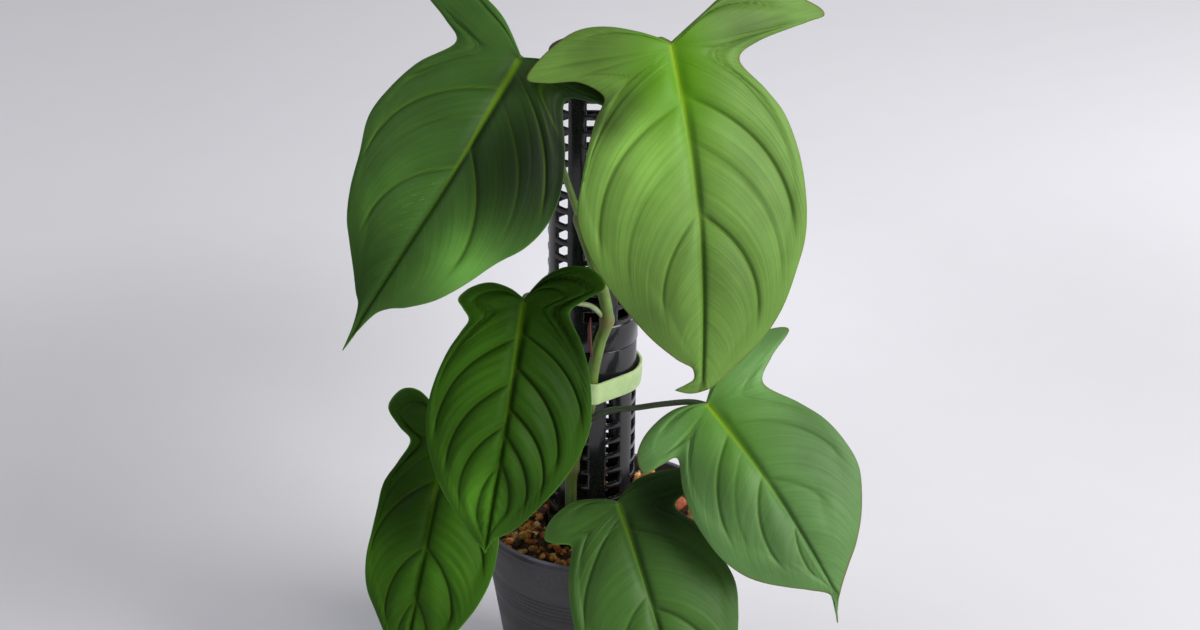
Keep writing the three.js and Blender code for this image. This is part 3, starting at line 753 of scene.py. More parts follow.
def sunken_veins(leaf, length, side, share, u, v, calm):
    """Panels and creases of the side veins; marks of pale vein, painted highlight, painted shade."""
    crease = sizes().vein_width / MM
    panels, creases = np.ones_like(u), np.zeros_like(u)
    vein_line_and_highlight, shade = np.zeros_like(u), np.zeros_like(u)
    above = (-1, 1)[side]
    to_tip, to_stalk = ((0.8, 1.0), (1.25, 0.6))[side]
    shade_width = 1.35 if side and leaf["panel"] > 6 else 1.0
    shade_depth = (0.75, 1)[side]
    from_rib = np.clip(share / 0.08, 0, 1)
    grow = 0.7 + 0.6 * share
    for vein_side, start, end, reach, depth in leaf["veins"]:
        if vein_side != side:
            continue
        line = start + (end - start) * share
        line_u, line_v = on_blade(leaf, length, side, line, share)
        run_u, run_v = np.gradient(line_u), np.gradient(line_v)
        run = np.hypot(run_u, run_v) + 1e-9
        offset = ((u - line_u) * run_v - (v - line_v) * run_u) / run
        fade = vein_groove(depth, reach, share) * (0.3 + 0.7 * calm)
        wide = np.where(offset * above < 0, to_tip, to_stalk) * grow
        panels *= 1 - fade * bell(offset, leaf["panel"] * wide)
        creases = np.maximum(creases, fade * bell(offset, crease * wide))
        # A paler vein, set on the lit side of its groove as a painted highlight.
        vein_line_and_highlight = np.maximum(vein_line_and_highlight, fade * bell(offset + 0.45, 0.6))
        shade = np.maximum(shade, shade_depth * fade * from_rib * bell(offset - 0.8, shade_width))
    return panels, creases, vein_line_and_highlight, shade


def fine_waves(leaf, share, u, v, calm):
    """Small waves along a blade, weaker towards the midrib and the margin."""
    middle = len(share) // 2
    run = np.cumsum(np.hypot(np.gradient(u[:, middle]), np.gradient(v[:, middle])))[:, None]
    wander = run / 5.2 + 0.35 * np.sin(run / 17)
    strength = 0.5 + 0.5 * np.sin(run / 11 + 4 * share)
    even = np.clip(share / 0.12, 0, 1) * np.clip((1 - share) / 0.15, 0, 1)
    return leaf["ripple"] * strength * np.sin(2 * np.pi * wander) * calm * even


def blade_relief(leaf, length, side, share, u, v, calm):
    """Height of the blade between its sunken veins, and the marks that its material reads."""
    panels, creases, vein_line_and_highlight, shade = sunken_veins(leaf, length, side, share, u, v, calm)
    beside = beside_rib(leaf, length, u, v)
    rib_width = np.interp(v, [-10, 0, 0.3 * length, 0.7 * length, length], [1.2, 1.9, 1.2, 0.7, 0.5])
    rib_fade = np.interp(v, [-6, 0], [0, 1])
    near_rib = bell(beside, 2.4 * rib_width) * rib_fade
    panels += (0.4 - panels) * near_rib
    creases = creases * (1 - near_rib) + bell(beside, 1.4 * rib_width) * rib_fade
    rib_mark = bell(beside, rib_width) * rib_fade
    if side:
        rib_shade = 0.9 * bell(beside - 1.9 * rib_width, 0.8 * rib_width + 0.3)
        shade = np.maximum(shade, rib_shade * rib_fade * np.interp(v, [2, 12], [0, 1]))
    height = leaf["pillow"] * (panels - 0.6) - CREASE_DEPTH * creases
    height += fine_waves(leaf, share, u, v, calm) * panels
    height = (height * (1 - share**5) + RIB_RISE * rib_mark) * off_stalk(u, v)
    height += arch_height(leaf, length, side, share, u, v)
    # Painted light and shade in patches: the shadows that leaves cast on each other, and sheen.
    patch = sum(amount * np.exp(-(((u - at_u) / wide) ** 2 + ((v - at_v) / tall) ** 2))
                for at_u, at_v, wide, tall, amount in leaf["patches"])
    heart = np.exp(-(u**2 + (0.6 * (v - 14)) ** 2) / 19**2)
    return height, {"vein": vein_line_and_highlight, "shade": shade, "rib": rib_mark, "heart": heart, "patch": patch}


def half_blade(leaf, side):
    """Places, surface coordinates and marks of one half of a blade, as row by share arrays."""
    base, down, across, outward, length = leaf_frame(leaf)
    fine, run = even_rows(leaf, length, side)
    stops = np.linspace(0, run[-1], ROW_STEPS + 1)
    at = np.interp(stops, run, fine)[:, None]
    even = np.linspace(0, 1, HALF_STEPS + 1)
    t = (0.65 * even + 0.35 * (0.5 - 0.5 * np.cos(np.pi * even)))[None, :]
    u, v = on_blade(leaf, length, side, at, t)
    row_gap = np.hypot(np.gradient(u, axis=0), np.gradient(v, axis=0)) / (stops[1] - stops[0])
    calm = np.clip(1.7 * row_gap - 0.35, 0, 1)
    relief, marks = blade_relief(leaf, length, side, t[0], u, v, calm)
    height = blade_height(leaf, length, u, v) + relief
    places = base + u[..., None] * across + v[..., None] * down + height[..., None] * outward
    edge_u, edge_v = u[:, -1:], v[:, -1:]
    margin = bell(np.hypot(u - edge_u, v - edge_v), MARGIN_WIDTH)
    surface = np.stack(np.broadcast_arrays(stops[:, None] / 10, t), axis=-1)
    marks.update(margin=margin, calm=calm, along=np.clip(v / length, -0.5, 1.2))
    return places * MM, surface, marks


def blade(leaf):
    """A grid of two halves that meet at the midrib, thickened to a leaf blade."""
    left, right = half_blade(leaf, 0), half_blade(leaf, 1)
    places = np.concatenate([left[0][:, ::-1], right[0][:, 1:]], axis=1)
    surface = np.concatenate([left[1][:, ::-1] * (1, -1), right[1][:, 1:]], axis=1)
    marks = {key: np.concatenate([values[:, ::-1], right[2][key][:, 1:]], axis=1)
             for key, values in left[2].items()}
    rows, columns = places.shape[:2]
    deselect()
    bpy.ops.mesh.primitive_grid_add(x_subdivisions=columns - 1, y_subdivisions=rows - 1, size=2)
    obj = bpy.context.object
    mesh = obj.data
    flat = np.empty(len(mesh.vertices) * 3)
    mesh.vertices.foreach_get("co", flat)
    flat = flat.reshape(-1, 3)
    column = np.rint((flat[:, 0] + 1) / 2 * (columns - 1)).astype(int)
    row = np.rint((flat[:, 1] + 1) / 2 * (rows - 1)).astype(int)
    mesh.vertices.foreach_set("co", places[row, column].ravel())
    for key, values in marks.items():
        new_mark(obj, key).foreach_set("value", values[row, column].astype(np.float32).ravel())
    corners = np.empty(len(mesh.loops), dtype=np.int32)
    mesh.loops.foreach_get("vertex_index", corners)
    mesh.uv_layers[0].name = "veins"
    mesh.uv_layers[0].uv.foreach_set("vector", surface[row, column][corners].astype(np.float32).ravel())
    mesh.update()
    edit_all(obj, (bpy.ops.mesh.remove_doubles, {"threshold": 0.00003}),
             (bpy.ops.mesh.dissolve_degenerate, {"threshold": 0.00002}))
    outward = Vector(leaf_frame(leaf)[3])
    if sum(polygon.normal.dot(outward) * polygon.area for polygon in mesh.polygons) < 0:
        edit_all(obj, (bpy.ops.mesh.flip_normals, {}))
    bpy.ops.object.shade_smooth()
    return obj


def thicken(obj, thickness):
    modifier(obj, "Thickness", "SOLIDIFY", thickness=thickness, offset=0, material_offset=1,
             material_offset_rim=0)


def under_ribs(leaf):
    """The midrib and the main side veins that stand out of the blade's underside."""
    base, down, across, outward, length = leaf_frame(leaf)

    def rib(side, t, u, v, groove, radii, sides):
        drop = leaf["pillow"] * (groove - 0.4) + CREASE_DEPTH * groove
        drop = drop * off_stalk(u, v) * (1 - t**5) + 0.4 * leaf["pillow"] * t
        height = blade_height(leaf, length, u, v) + arch_height(leaf, length, side, t, u, v)
        points = [Vector((base + across * a + down * b + outward * h) * MM)
                  for a, b, h in zip(u, v, height - drop - radii)]
        return stalk(points, radii * MM, sides)

    v = np.linspace(0, 0.97 * length, 40)
    u = leaf["sway"] * np.sin(np.pi * v / length)
    radii = np.interp(v / length, [0, 0.1, 0.5, 1], [1.7, 1.5, 0.9, 0.35])
    ribs = [rib(0, 0 * v, u, v, 0.6, radii, 2)]
    for side, start, end, reach, depth in leaf["veins"]:
        if depth < 0.45:
            continue
        t = np.linspace(0.01, 0.76 * reach, 20)
        u, v = on_blade(leaf, length, side, start + (end - start) * t, t)
        radii = np.interp(t, [0, 0.2, 1], [0.9, 0.65, 0.25])
        ribs.append(rib(side, t, u, v, vein_groove(depth, reach, t), radii, 1))
    return ribs


def petiole(leaf):
    points = through([Vector(point) * MM for point in leaf["petiole"]], 48)
    share = np.linspace(0, 1, len(points))
    outward = Vector(leaf_frame(leaf)[3])
    sink = 2.0 * MM * np.clip((share - 0.8) / 0.2, 0, 1) ** 1.5
    points = [point - outward * depth for point, depth in zip(points, sink)]
    thick = np.interp(share, [0, 0.08, 0.3, 0.85, 1], [1.5, 1.15, 1.0, 1.0, 1.2])
    return stalk(points, thick * sizes().petiole_radius * leaf.get("stalk", ("light", 1))[1], 3)


# Materials


def node(tree, kind, inputs=None, **settings):
    """Adds a node with its settings, and fills its inputs with values or links."""
    made = tree.nodes.new(kind)
    for key, value in settings.items():
        setattr(made, key, value)
    for key, value in (inputs or {}).items():
        if isinstance(value, bpy.types.NodeSocket):
            tree.links.new(value, made.inputs[key])
        else:
            made.inputs[key].default_value = value
    return made


def mix(tree, factor, first, second, blend="MIX"):
    made = node(tree, "ShaderNodeMix", {0: factor, 6: first, 7: second}, data_type="RGBA",
                blend_type=blend)
    return made.outputs[2]


def maths(tree, operation, *values):
    made = node(tree, "ShaderNodeMath", dict(enumerate(values)), operation=operation)
    return made.outputs[0]


def ranged(tree, value, low, high, to_low, to_high):
    made = node(tree, "ShaderNodeMapRange", {0: value, 1: low, 2: high, 3: to_low, 4: to_high})
    return made.outputs[0]


def noisy(tree, vector, scale, detail=3.0, roughness=0.55, stretch=(1, 1, 1)):
    """Cloudy noise between 0 and 1 on coordinates stretched along each axis."""
    mapped = node(tree, "ShaderNodeMapping", {"Vector": vector, "Scale": stretch}).outputs[0]
    made = node(tree, "ShaderNodeTexNoise",
                {"Vector": mapped, "Scale": scale, "Detail": detail, "Roughness": roughness})
    return made.outputs["Fac"]


def times(tree, first, *others):
    """The product of numbers."""
    for other in others:
        first = maths(tree, "MULTIPLY", first, other)
    return first


def tinted(tree, tone, gain):
    """A tone multiplied by a colour or a number."""
    return mix(tree, 1.0, tone, gain, "MULTIPLY")


def solid_place(tree):
    return node(tree, "ShaderNodeTexCoord").outputs["Object"]


def height_on(tree, solid):
    return node(tree, "ShaderNodeSeparateXYZ", {"Vector": solid}).outputs["Z"]


def mark(tree, name):
    return node(tree, "ShaderNodeAttribute", attribute_name=name).outputs["Fac"]


def effect(name, inputs, outputs):
    """A shader node group with named inputs and outputs, and its two end nodes."""
    tree = bpy.data.node_groups.new(name, "ShaderNodeTree")
    for title, kind, value in inputs:
        socket = tree.interface.new_socket(title, in_out="INPUT", socket_type="NodeSocket" + kind)
        if value is not None:
            socket.default_value = value
    for title, kind in outputs:
        tree.interface.new_socket(title, in_out="OUTPUT", socket_type="NodeSocket" + kind)
    return tree, tree.nodes.new("NodeGroupInput"), tree.nodes.new("NodeGroupOutput")


def put_out(tree, end, **values):
    for key, value in values.items():
        tree.links.new(value, end.inputs[key])


def mottle_effect():
    """Two tones of a colour in soft clouds, with a finer grain over them."""
    if "Mottle" in bpy.data.node_groups:
        return bpy.data.node_groups["Mottle"]
    tree, start, end = effect("Mottle", [
        ("Vector", "Vector", None), ("Colour", "Color", (0.5, 0.5, 0.5, 1)),
        ("Second", "Color", (0.4, 0.4, 0.4, 1)), ("Scale", "Float", 40.0), ("Grain", "Float", 0.3),
    ], [("Colour", "Color"), ("Grain", "Float")])
    vector = start.outputs["Vector"]
    clouds = node(tree, "ShaderNodeTexNoise",
                  {"Vector": vector, "Scale": start.outputs["Scale"], "Detail": 4.0}).outputs["Fac"]
    fine_scale = times(tree, start.outputs["Scale"], 14.0)
    fine = node(tree, "ShaderNodeTexNoise",
                {"Vector": vector, "Scale": fine_scale, "Detail": 2.0}).outputs["Fac"]
    spread = ranged(tree, clouds, 0.32, 0.68, 0.0, 1.0)
    tone = mix(tree, spread, start.outputs["Colour"], start.outputs["Second"])
    shade = ranged(tree, fine, 0.25, 0.75, 1.2, 0.8)
    dark = mix(tree, start.outputs["Grain"], tone, tinted(tree, tone, shade))
    put_out(tree, end, Colour=dark, Grain=fine)
    return tree


def dust_effect():
    """Pale dust that has settled in patches, and how much it dulls the gloss."""
    if "Settled dust" in bpy.data.node_groups:
        return bpy.data.node_groups["Settled dust"]
    tree, start, end = effect("Settled dust", [
        ("Vector", "Vector", None), ("Colour", "Color", (0.1, 0.1, 0.1, 1)),
        ("Dust", "Color", (0.5, 0.48, 0.45, 1)), ("Amount", "Float", 0.2), ("Scale", "Float", 30.0),
    ], [("Colour", "Color"), ("Cover", "Float")])
    vector = start.outputs["Vector"]
    patches = node(tree, "ShaderNodeTexNoise",
                   {"Vector": vector, "Scale": start.outputs["Scale"], "Detail": 5.0}).outputs["Fac"]
    specks = noisy(tree, vector, 900.0, 1.0)
    cover = times(tree, ranged(tree, patches, 0.4, 0.75, 0.15, 1.0),
                  ranged(tree, specks, 0.35, 0.7, 0.3, 1.0), start.outputs["Amount"])
    dusted = mix(tree, cover, start.outputs["Colour"], start.outputs["Dust"])
    put_out(tree, end, Colour=dusted, Cover=cover)
    return tree


def leaf_effect():
    """Blade colour with its fine parallel veins, pale side veins, midrib and brownish margin, and
    painted light and shade: highlights beside the veins, shade in the grooves, and patches.
    """
    if "Leaf pattern" in bpy.data.node_groups:
        return bpy.data.node_groups["Leaf pattern"]
    tree, start, end = effect("Leaf pattern", [
        ("Colour", "Color", (0.1, 0.3, 0.05, 1)), ("Second", "Color", (0.05, 0.2, 0.03, 1)),
        ("Rib", "Color", (0.2, 0.4, 0.05, 1)), ("Margin", "Color", (0.2, 0.05, 0.02, 1)),
        ("Streaks", "Float", 0.3), ("Veins", "Float", 0.4), ("Edge", "Float", 0.6),
        ("Heart", "Float", 0.0), ("Shade", "Float", 0.5), ("Scars", "Float", 0.3),
    ], [("Colour", "Color"), ("Height", "Float"), ("Roughness", "Float")])
    surface = node(tree, "ShaderNodeUVMap", uv_map="veins").outputs[0]
    solid = solid_place(tree)
    streaks = noisy(tree, surface, 1.0, 3.0, 0.6, (4.5, 1.0, 1.0))
    lines = noisy(tree, surface, 1.0, 2.0, 0.5, (17.0, 0.6, 1.0))
    clouds = noisy(tree, solid, 38.0, 3.0)
    cells = node(tree, "ShaderNodeTexVoronoi", {"Vector": solid, "Scale": 1500.0}).outputs["Distance"]
    tone = mix(tree, ranged(tree, clouds, 0.3, 0.7, 0.0, 1.0), start.outputs["Colour"],
               start.outputs["Second"])
    bands = times(tree, start.outputs["Streaks"], mark(tree, "calm"))
    tone = mix(tree, bands, tone, tinted(tree, tone, ranged(tree, streaks, 0.3, 0.7, 1.3, 0.7)))
    tone = mix(tree, bands, tone, tinted(tree, tone, ranged(tree, lines, 0.35, 0.65, 1.1, 0.9)))
    # Painted light and shade in patches, in doublings of brightness.
    tone = tinted(tree, tone, maths(tree, "POWER", 2.0, mark(tree, "patch")))
    scratches = noisy(tree, surface, 1.0, 2.0, 0.6, (13.0, 7.0, 1.0))
    along = mark(tree, "along")
    beside = node(tree, "ShaderNodeSeparateXYZ", {"Vector": surface}).outputs["Y"]
    scratches = times(tree, ranged(tree, scratches, 0.64, 0.71, 0.0, 1.0),
                      ranged(tree, along, 0.42, 0.52, 0.0, 1.0),
                      ranged(tree, along, 0.62, 0.72, 1.0, 0.0),
                      ranged(tree, beside, -0.3, -0.18, 0.0, 1.0),
                      ranged(tree, beside, -0.04, 0.0, 1.0, 0.0), start.outputs["Scars"])
    tone = mix(tree, scratches, tone, SCAR_TONE)
    shade = times(tree, mark(tree, "shade"), start.outputs["Shade"])
    tone = mix(tree, shade, tone, tinted(tree, tone, GROOVE_SHADE))
    # Pale side veins, set as a painted highlight on the lit side of each groove.
    vein = times(tree, mark(tree, "vein"), start.outputs["Veins"])
    tone = mix(tree, vein, tone, mix(tree, 0.5, tone, start.outputs["Rib"]))
    heart = times(tree, mark(tree, "heart"), start.outputs["Heart"])
    tone = mix(tree, heart, tone, tinted(tree, start.outputs["Rib"], HEART_TONE))
    rib = times(tree, ranged(tree, mark(tree, "rib"), 0.15, 0.8, 0.0, 1.0),
                ranged(tree, along, 0.0, 0.6, 1.0, 0.2))
    tone = mix(tree, rib, tone, start.outputs["Rib"])
    edge = times(tree, mark(tree, "margin"), start.outputs["Edge"],
                 ranged(tree, noisy(tree, solid, 70.0, 2.0), 0.4, 0.6, 0.45, 1.0))
    tone = mix(tree, edge, tone, start.outputs["Margin"])
    height = maths(tree, "ADD", times(tree, lines, 0.6), times(tree, streaks, 0.8))
    height = maths(tree, "ADD", times(tree, height, mark(tree, "calm")), times(tree, cells, 0.25))
    gloss = ranged(tree, maths(tree, "ADD", clouds, times(tree, lines, 0.5)), 0.5, 1.1, 0.4, 0.52)
    put_out(tree, end, Colour=tone, Height=height, Roughness=gloss)
    return tree


def material(name):
    """An empty material with its shader, and its tree."""
    made = bpy.data.materials.new(name)
    made.use_nodes = True
    tree = made.node_tree
    return made, tree, tree.nodes["Principled BSDF"]


def grouped(tree, group, **inputs):
    return node(tree, "ShaderNodeGroup", inputs, node_tree=group).outputs


def bumped(tree, shader, height, distance, strength):
    made = node(tree, "ShaderNodeBump", {"Height": height, "Distance": distance, "Strength": strength})
    tree.links.new(made.outputs[0], shader.inputs["Normal"])


def opaque(colour, gain=1.0):
    return (*(min(channel * gain, 1.0) for channel in colour), 1.0)


def mottled(tree, solid, colour, darker, scale, grain):
    """A colour in soft clouds of a darker tone, with a fine grain."""
    return grouped(tree, mottle_effect(), Vector=solid, Colour=opaque(colour),
                   Second=opaque(colour, darker), Scale=scale, Grain=grain)


def leaf_material(name, green, upper=True):
    """Upper face of a blade, or its paler and duller underside."""
    made, tree, shader = material(name)
    finish = LEAF_FINISH[green]
    tint = getattr(colours(), green)
    base = tuple(tint) if upper else (tint[0] * 0.9 + 0.03, tint[1] * 0.8 + 0.05, tint[2] * 0.8 + 0.03)
    rib = [b * (1 - finish["rib"]) + r * finish["rib"] for b, r in zip(base, colours().rib_green)]
    margin = opaque(base, finish["margin"]) if finish["margin"] else RED_MARGIN
    look = grouped(tree, leaf_effect(), Colour=opaque(base, 1.08), Second=opaque(base, 0.86),
                   Rib=opaque(rib), Margin=margin, Streaks=finish["streaks"],
                   Veins=0.5 if upper else 0.25, Edge=0.7, Heart=finish["heart"],
                   Shade=finish["shade"], Scars=finish["scars"] if upper else 0.0)
    rough = look["Roughness"] if upper else ranged(tree, look["Roughness"], 0.3, 0.5, 0.55, 0.7)
    tree.links.new(look["Colour"], shader.inputs["Base Color"])
    tree.links.new(rough, shader.inputs["Roughness"])
    shader.inputs["Specular IOR Level"].default_value = finish["specular"]
    bumped(tree, shader, look["Height"], 0.00025, 0.55)
    return made


def stem_material(name, green, brown, darker_below=None):
    """Fibrous stem that browns at its nodes, and darkens below a height if one is given."""
    made, tree, shader = material(name)
    solid = solid_place(tree)
    look = mottled(tree, solid, green, 0.72, 120.0, 0.35)
    fibres = noisy(tree, solid, 60.0, 3.0, 0.6, (14.0, 14.0, 1.0))
    tone = mix(tree, ranged(tree, fibres, 0.45, 0.75, 0.0, 0.45), look["Colour"], opaque(brown))
    joint = ranged(tree, mark(tree, "joint"), 0.2, 1.0, 0.0, 0.6)
    tone = mix(tree, joint, tone, opaque(brown))
    # Darker and yellower below a height.
    if darker_below:
        lower_part = ranged(tree, height_on(tree, solid), darker_below - 0.08, darker_below, 0.9, 0.0)
        tone = mix(tree, lower_part, tone, tinted(tree, tone, LOWER_STEM_TONE))
    tree.links.new(tone, shader.inputs["Base Color"])
    tree.links.new(ranged(tree, fibres, 0.3, 0.7, 0.36, 0.52), shader.inputs["Roughness"])
    bumped(tree, shader, maths(tree, "ADD", fibres, look["Grain"]), 0.0002, 0.5)
    return made


def plastic_material(name, colour, gloss, dust, dust_scale, streak, highlight_from=None):
    """Moulded plastic with flow lines, grain, dust, and a painted highlight above a height if given."""
    made, tree, shader = material(name)
    solid = solid_place(tree)
    base = mottled(tree, solid, colour, 0.8, 25.0, 0.2)
    dusty = grouped(tree, dust_effect(), Vector=solid, Colour=base["Colour"], Dust=DUST_TONE,
                    Amount=dust, Scale=dust_scale)
    tone = dusty["Colour"]
    # A painted highlight: paler plastic on the top of the lip.
    if highlight_from:
        lip_highlight = ranged(tree, height_on(tree, solid), highlight_from, highlight_from + 0.0008, 0.0, 0.75)
        tone = mix(tree, lip_highlight, tone, PAINTED_LIP_HIGHLIGHT)
    tree.links.new(tone, shader.inputs["Base Color"])
    flow = noisy(tree, solid, 30.0, 4.0, 0.6, streak)
    rough = maths(tree, "ADD", ranged(tree, flow, 0.3, 0.7, gloss - 0.05, gloss + 0.07),
                  times(tree, dusty["Cover"], 0.5))
    tree.links.new(rough, shader.inputs["Roughness"])
    bumped(tree, shader, maths(tree, "ADD", flow, times(tree, base["Grain"], 0.35)), 0.0002, 0.35)
    return made


def substrate_material():
    made, tree, shader = material("Bark and clay grains")
    solid = solid_place(tree)
    ramp = node(tree, "ShaderNodeValToRGB", {"Fac": mark(tree, "grain")})
    stops = ramp.color_ramp
    stops.interpolation = "CONSTANT"
    for element, (position, colour) in zip(stops.elements, GRAIN_TONES):
        element.position, element.color = position, (*colour, 1)
    for position, colour in GRAIN_TONES[2:]:
        stops.elements.new(position).color = (*colour, 1)
    look = grouped(tree, mottle_effect(), Vector=solid, Colour=ramp.outputs[0],
                   Second=tinted(tree, ramp.outputs[0], (0.55, 0.5, 0.48, 1)), Scale=260.0, Grain=0.6)
    tree.links.new(look["Colour"], shader.inputs["Base Color"])
    tree.links.new(ranged(tree, look["Grain"], 0.3, 0.7, 0.75, 0.95), shader.inputs["Roughness"])
    bumped(tree, shader, look["Grain"], 0.0006, 0.8)
    return made


def clay_material():
    made, tree, shader = material("Baked clay")
    solid = solid_place(tree)
    look = mottled(tree, solid, colours().clay_red, 0.55, 240.0, 0.6)
    pits = node(tree, "ShaderNodeTexVoronoi", {"Vector": solid, "Scale": 900.0}).outputs["Distance"]
    tree.links.new(look["Colour"], shader.inputs["Base Color"])
    tree.links.new(ranged(tree, look["Grain"], 0.3, 0.7, 0.7, 0.9), shader.inputs["Roughness"])
    bumped(tree, shader, maths(tree, "ADD", pits, look["Grain"]), 0.0005, 0.8)
    return made


def tie_material():
    made, tree, shader = material("Soft tie")
    solid = solid_place(tree)
    look = mottled(tree, solid, colours().tie_green, 0.84, 110.0, 0.45)
    threads = node(tree, "ShaderNodeTexWave", {"Vector": solid, "Scale": 420.0, "Distortion": 1.5},
                   wave_type="BANDS", bands_direction="Z").outputs["Fac"]
    tree.links.new(look["Colour"], shader.inputs["Base Color"])
    tree.links.new(ranged(tree, threads, 0.0, 1.0, 0.78, 0.92), shader.inputs["Roughness"])
    shader.inputs["Sheen Weight"].default_value = 0.35
    shader.inputs["Sheen Roughness"].default_value = 0.5
    bumped(tree, shader, maths(tree, "ADD", threads, look["Grain"]), 0.0002, 0.5)
    return made


def floor_material():
    """Pale floor with painted falloff and soft pools of painted light and shade round the plant."""
    made, tree, shader = material("Pale floor")
    solid = solid_place(tree)
    look = mottled(tree, solid, studio().floor_colour, 0.985, 2.0, 0.03)
    place = node(tree, "ShaderNodeSeparateXYZ", {"Vector": solid})
    # Painted falloff of the light: darker to the left and towards the camera.
    painted_falloff = times(tree, ranged(tree, place.outputs["X"], -0.35, 0.0, 0.9, 1.0),
                 ranged(tree, place.outputs["Y"], 0.15, 0.75, 0.95, 1.06))
    # Painted pools of light and shade, among them the plant's soft shadow on the left.
    for at_x, at_y, wide, deep, amount in PAINTED_FLOOR_POOLS:
        spread = node(tree, "ShaderNodeMapping", {
            "Vector": solid, "Location": (-at_x / wide, -at_y / deep, 0),
            "Scale": (1 / wide, 1 / deep, 0)})
        painted_pool = node(tree, "ShaderNodeTexGradient", {"Vector": spread.outputs["Vector"]},
                    gradient_type="SPHERICAL")
        soft = node(tree, "ShaderNodeMapRange", {0: painted_pool.outputs["Fac"], 3: 1.0, 4: 1 + amount},
                    interpolation_type="SMOOTHSTEP")
        painted_falloff = times(tree, painted_falloff, soft.outputs[0])
    tree.links.new(tinted(tree, look["Colour"], painted_falloff), shader.inputs["Base Color"])
    shader.inputs["Roughness"].default_value = 0.9
    shader.inputs["Specular IOR Level"].default_value = 0.1
    return made


# Pieces


def leaning(obj):
    """Sets an upright piece of the pole in its place, with the pole's lean."""
    lean = Matrix.Rotation(math.radians(POLE["lean"]), 4, "Y")
    obj.data.transform(Matrix.Translation((POLE["x"] * MM, 0, 0)) @ lean)
    return obj


def slotted_tube(low, high, rows):
    """An upright tube with its slot windows cut out and every edge rounded."""
    deselect()
    columns, steps = SLOT["columns"], 7
    bpy.ops.mesh.primitive_cylinder_add(
        vertices=columns * steps, radius=POLE["radius"] * MM, depth=(high - low) * MM,
        location=(0, 0, (low + high) / 2 * MM), end_fill_type="NOTHING")
    obj = bpy.context.object
    place_in_mesh(obj)
    turn, spacing = math.radians(rows["turn"]), 2 * math.pi / columns
    half = math.asin(SLOT["width"] / 2 / POLE["radius"])
    bar = (spacing - 2 * half) / (steps - 3)
    offsets = [-half, -half / 3, half / 3, half] + [half + bar * k for k in range(1, steps - 3)]
    for vertex in obj.data.vertices:
        heading = math.atan2(vertex.co.x, -vertex.co.y) % (2 * math.pi)
        index = round(heading / (2 * math.pi) * columns * steps) % (columns * steps)
        angle = turn + index // steps * spacing + offsets[index % steps]
        vertex.co.x = POLE["radius"] * MM * math.sin(angle)
        vertex.co.y = -POLE["radius"] * MM * math.cos(angle)

    def window(column, row):
        back = math.cos(turn + column * spacing) < -0.1
        middle = rows["first"] + (row + (rows["back_shift"] if back else 0)) * SLOT["pitch"]
        return middle - SLOT["height"] / 2, middle + SLOT["height"] / 2

    cuts = {edge for column in range(columns) for row in range(rows["count"])
            for edge in window(column, row)}
    bpy.ops.object.mode_set(mode="EDIT")
    for height in sorted(cuts):
        bpy.ops.mesh.select_all(action="SELECT")
        bpy.ops.mesh.bisect(plane_co=(0, 0, height * MM), plane_no=(0, 0, 1))
    bpy.ops.mesh.select_mode(type="FACE")
    bpy.ops.mesh.select_all(action="DESELECT")
    bpy.ops.object.mode_set(mode="OBJECT")
    for polygon in obj.data.polygons:
        heading = (math.atan2(polygon.center.x, -polygon.center.y) - turn) % (2 * math.pi)
        column = round(heading / spacing) % columns
        beside = abs((heading - column * spacing + math.pi) % (2 * math.pi) - math.pi)
        height = polygon.center.z / MM
        polygon.select = beside < half and any(
            window(column, row)[0] < height < window(column, row)[1] for row in range(rows["count"]))
    bpy.ops.object.mode_set(mode="EDIT")
    bpy.ops.mesh.delete(type="FACE")
    bpy.ops.object.mode_set(mode="OBJECT")
    modifier(obj, "Wall", "SOLIDIFY", thickness=POLE["wall"] * MM, offset=-1)
    modifier(obj, "Rounding", "BEVEL", width=sizes().slot_round, segments=2, limit_method="ANGLE",
             angle_limit=math.radians(50))
    return obj


def tie_outline(clearance, count):
    """Points round the pole and the vine at a clearance, in millimetres."""
    around = POLE["radius"] + clearance
    vine_side = sizes().vine_radius / MM + clearance
    tangent = math.acos((around - vine_side) / TIE["reach"])
    front = -math.pi / 2
    points = []
    for n in range(count):
        angle = front + tangent + (2 * math.pi - 2 * tangent) * n / (count - 1)
        points.append((around * math.cos(angle), around * math.sin(angle)))
    for n in range(count // 4 + 1):
        angle = front - tangent + 2 * tangent * n / (count // 4)
        points.append((vine_side * math.cos(angle), vine_side * math.sin(angle) - TIE["reach"]))
    return points


def soil_height(x, y):
    """The bumpy top of the substrate, in millimetres."""
    fine = math.sin(0.71 * x + 0.2 * y) * math.sin(0.63 * y - 0.3 * x)
    return SUBSTRATE["top"] + SUBSTRATE["wave"] * (fine + math.sin(0.33 * x - 0.4 * y))


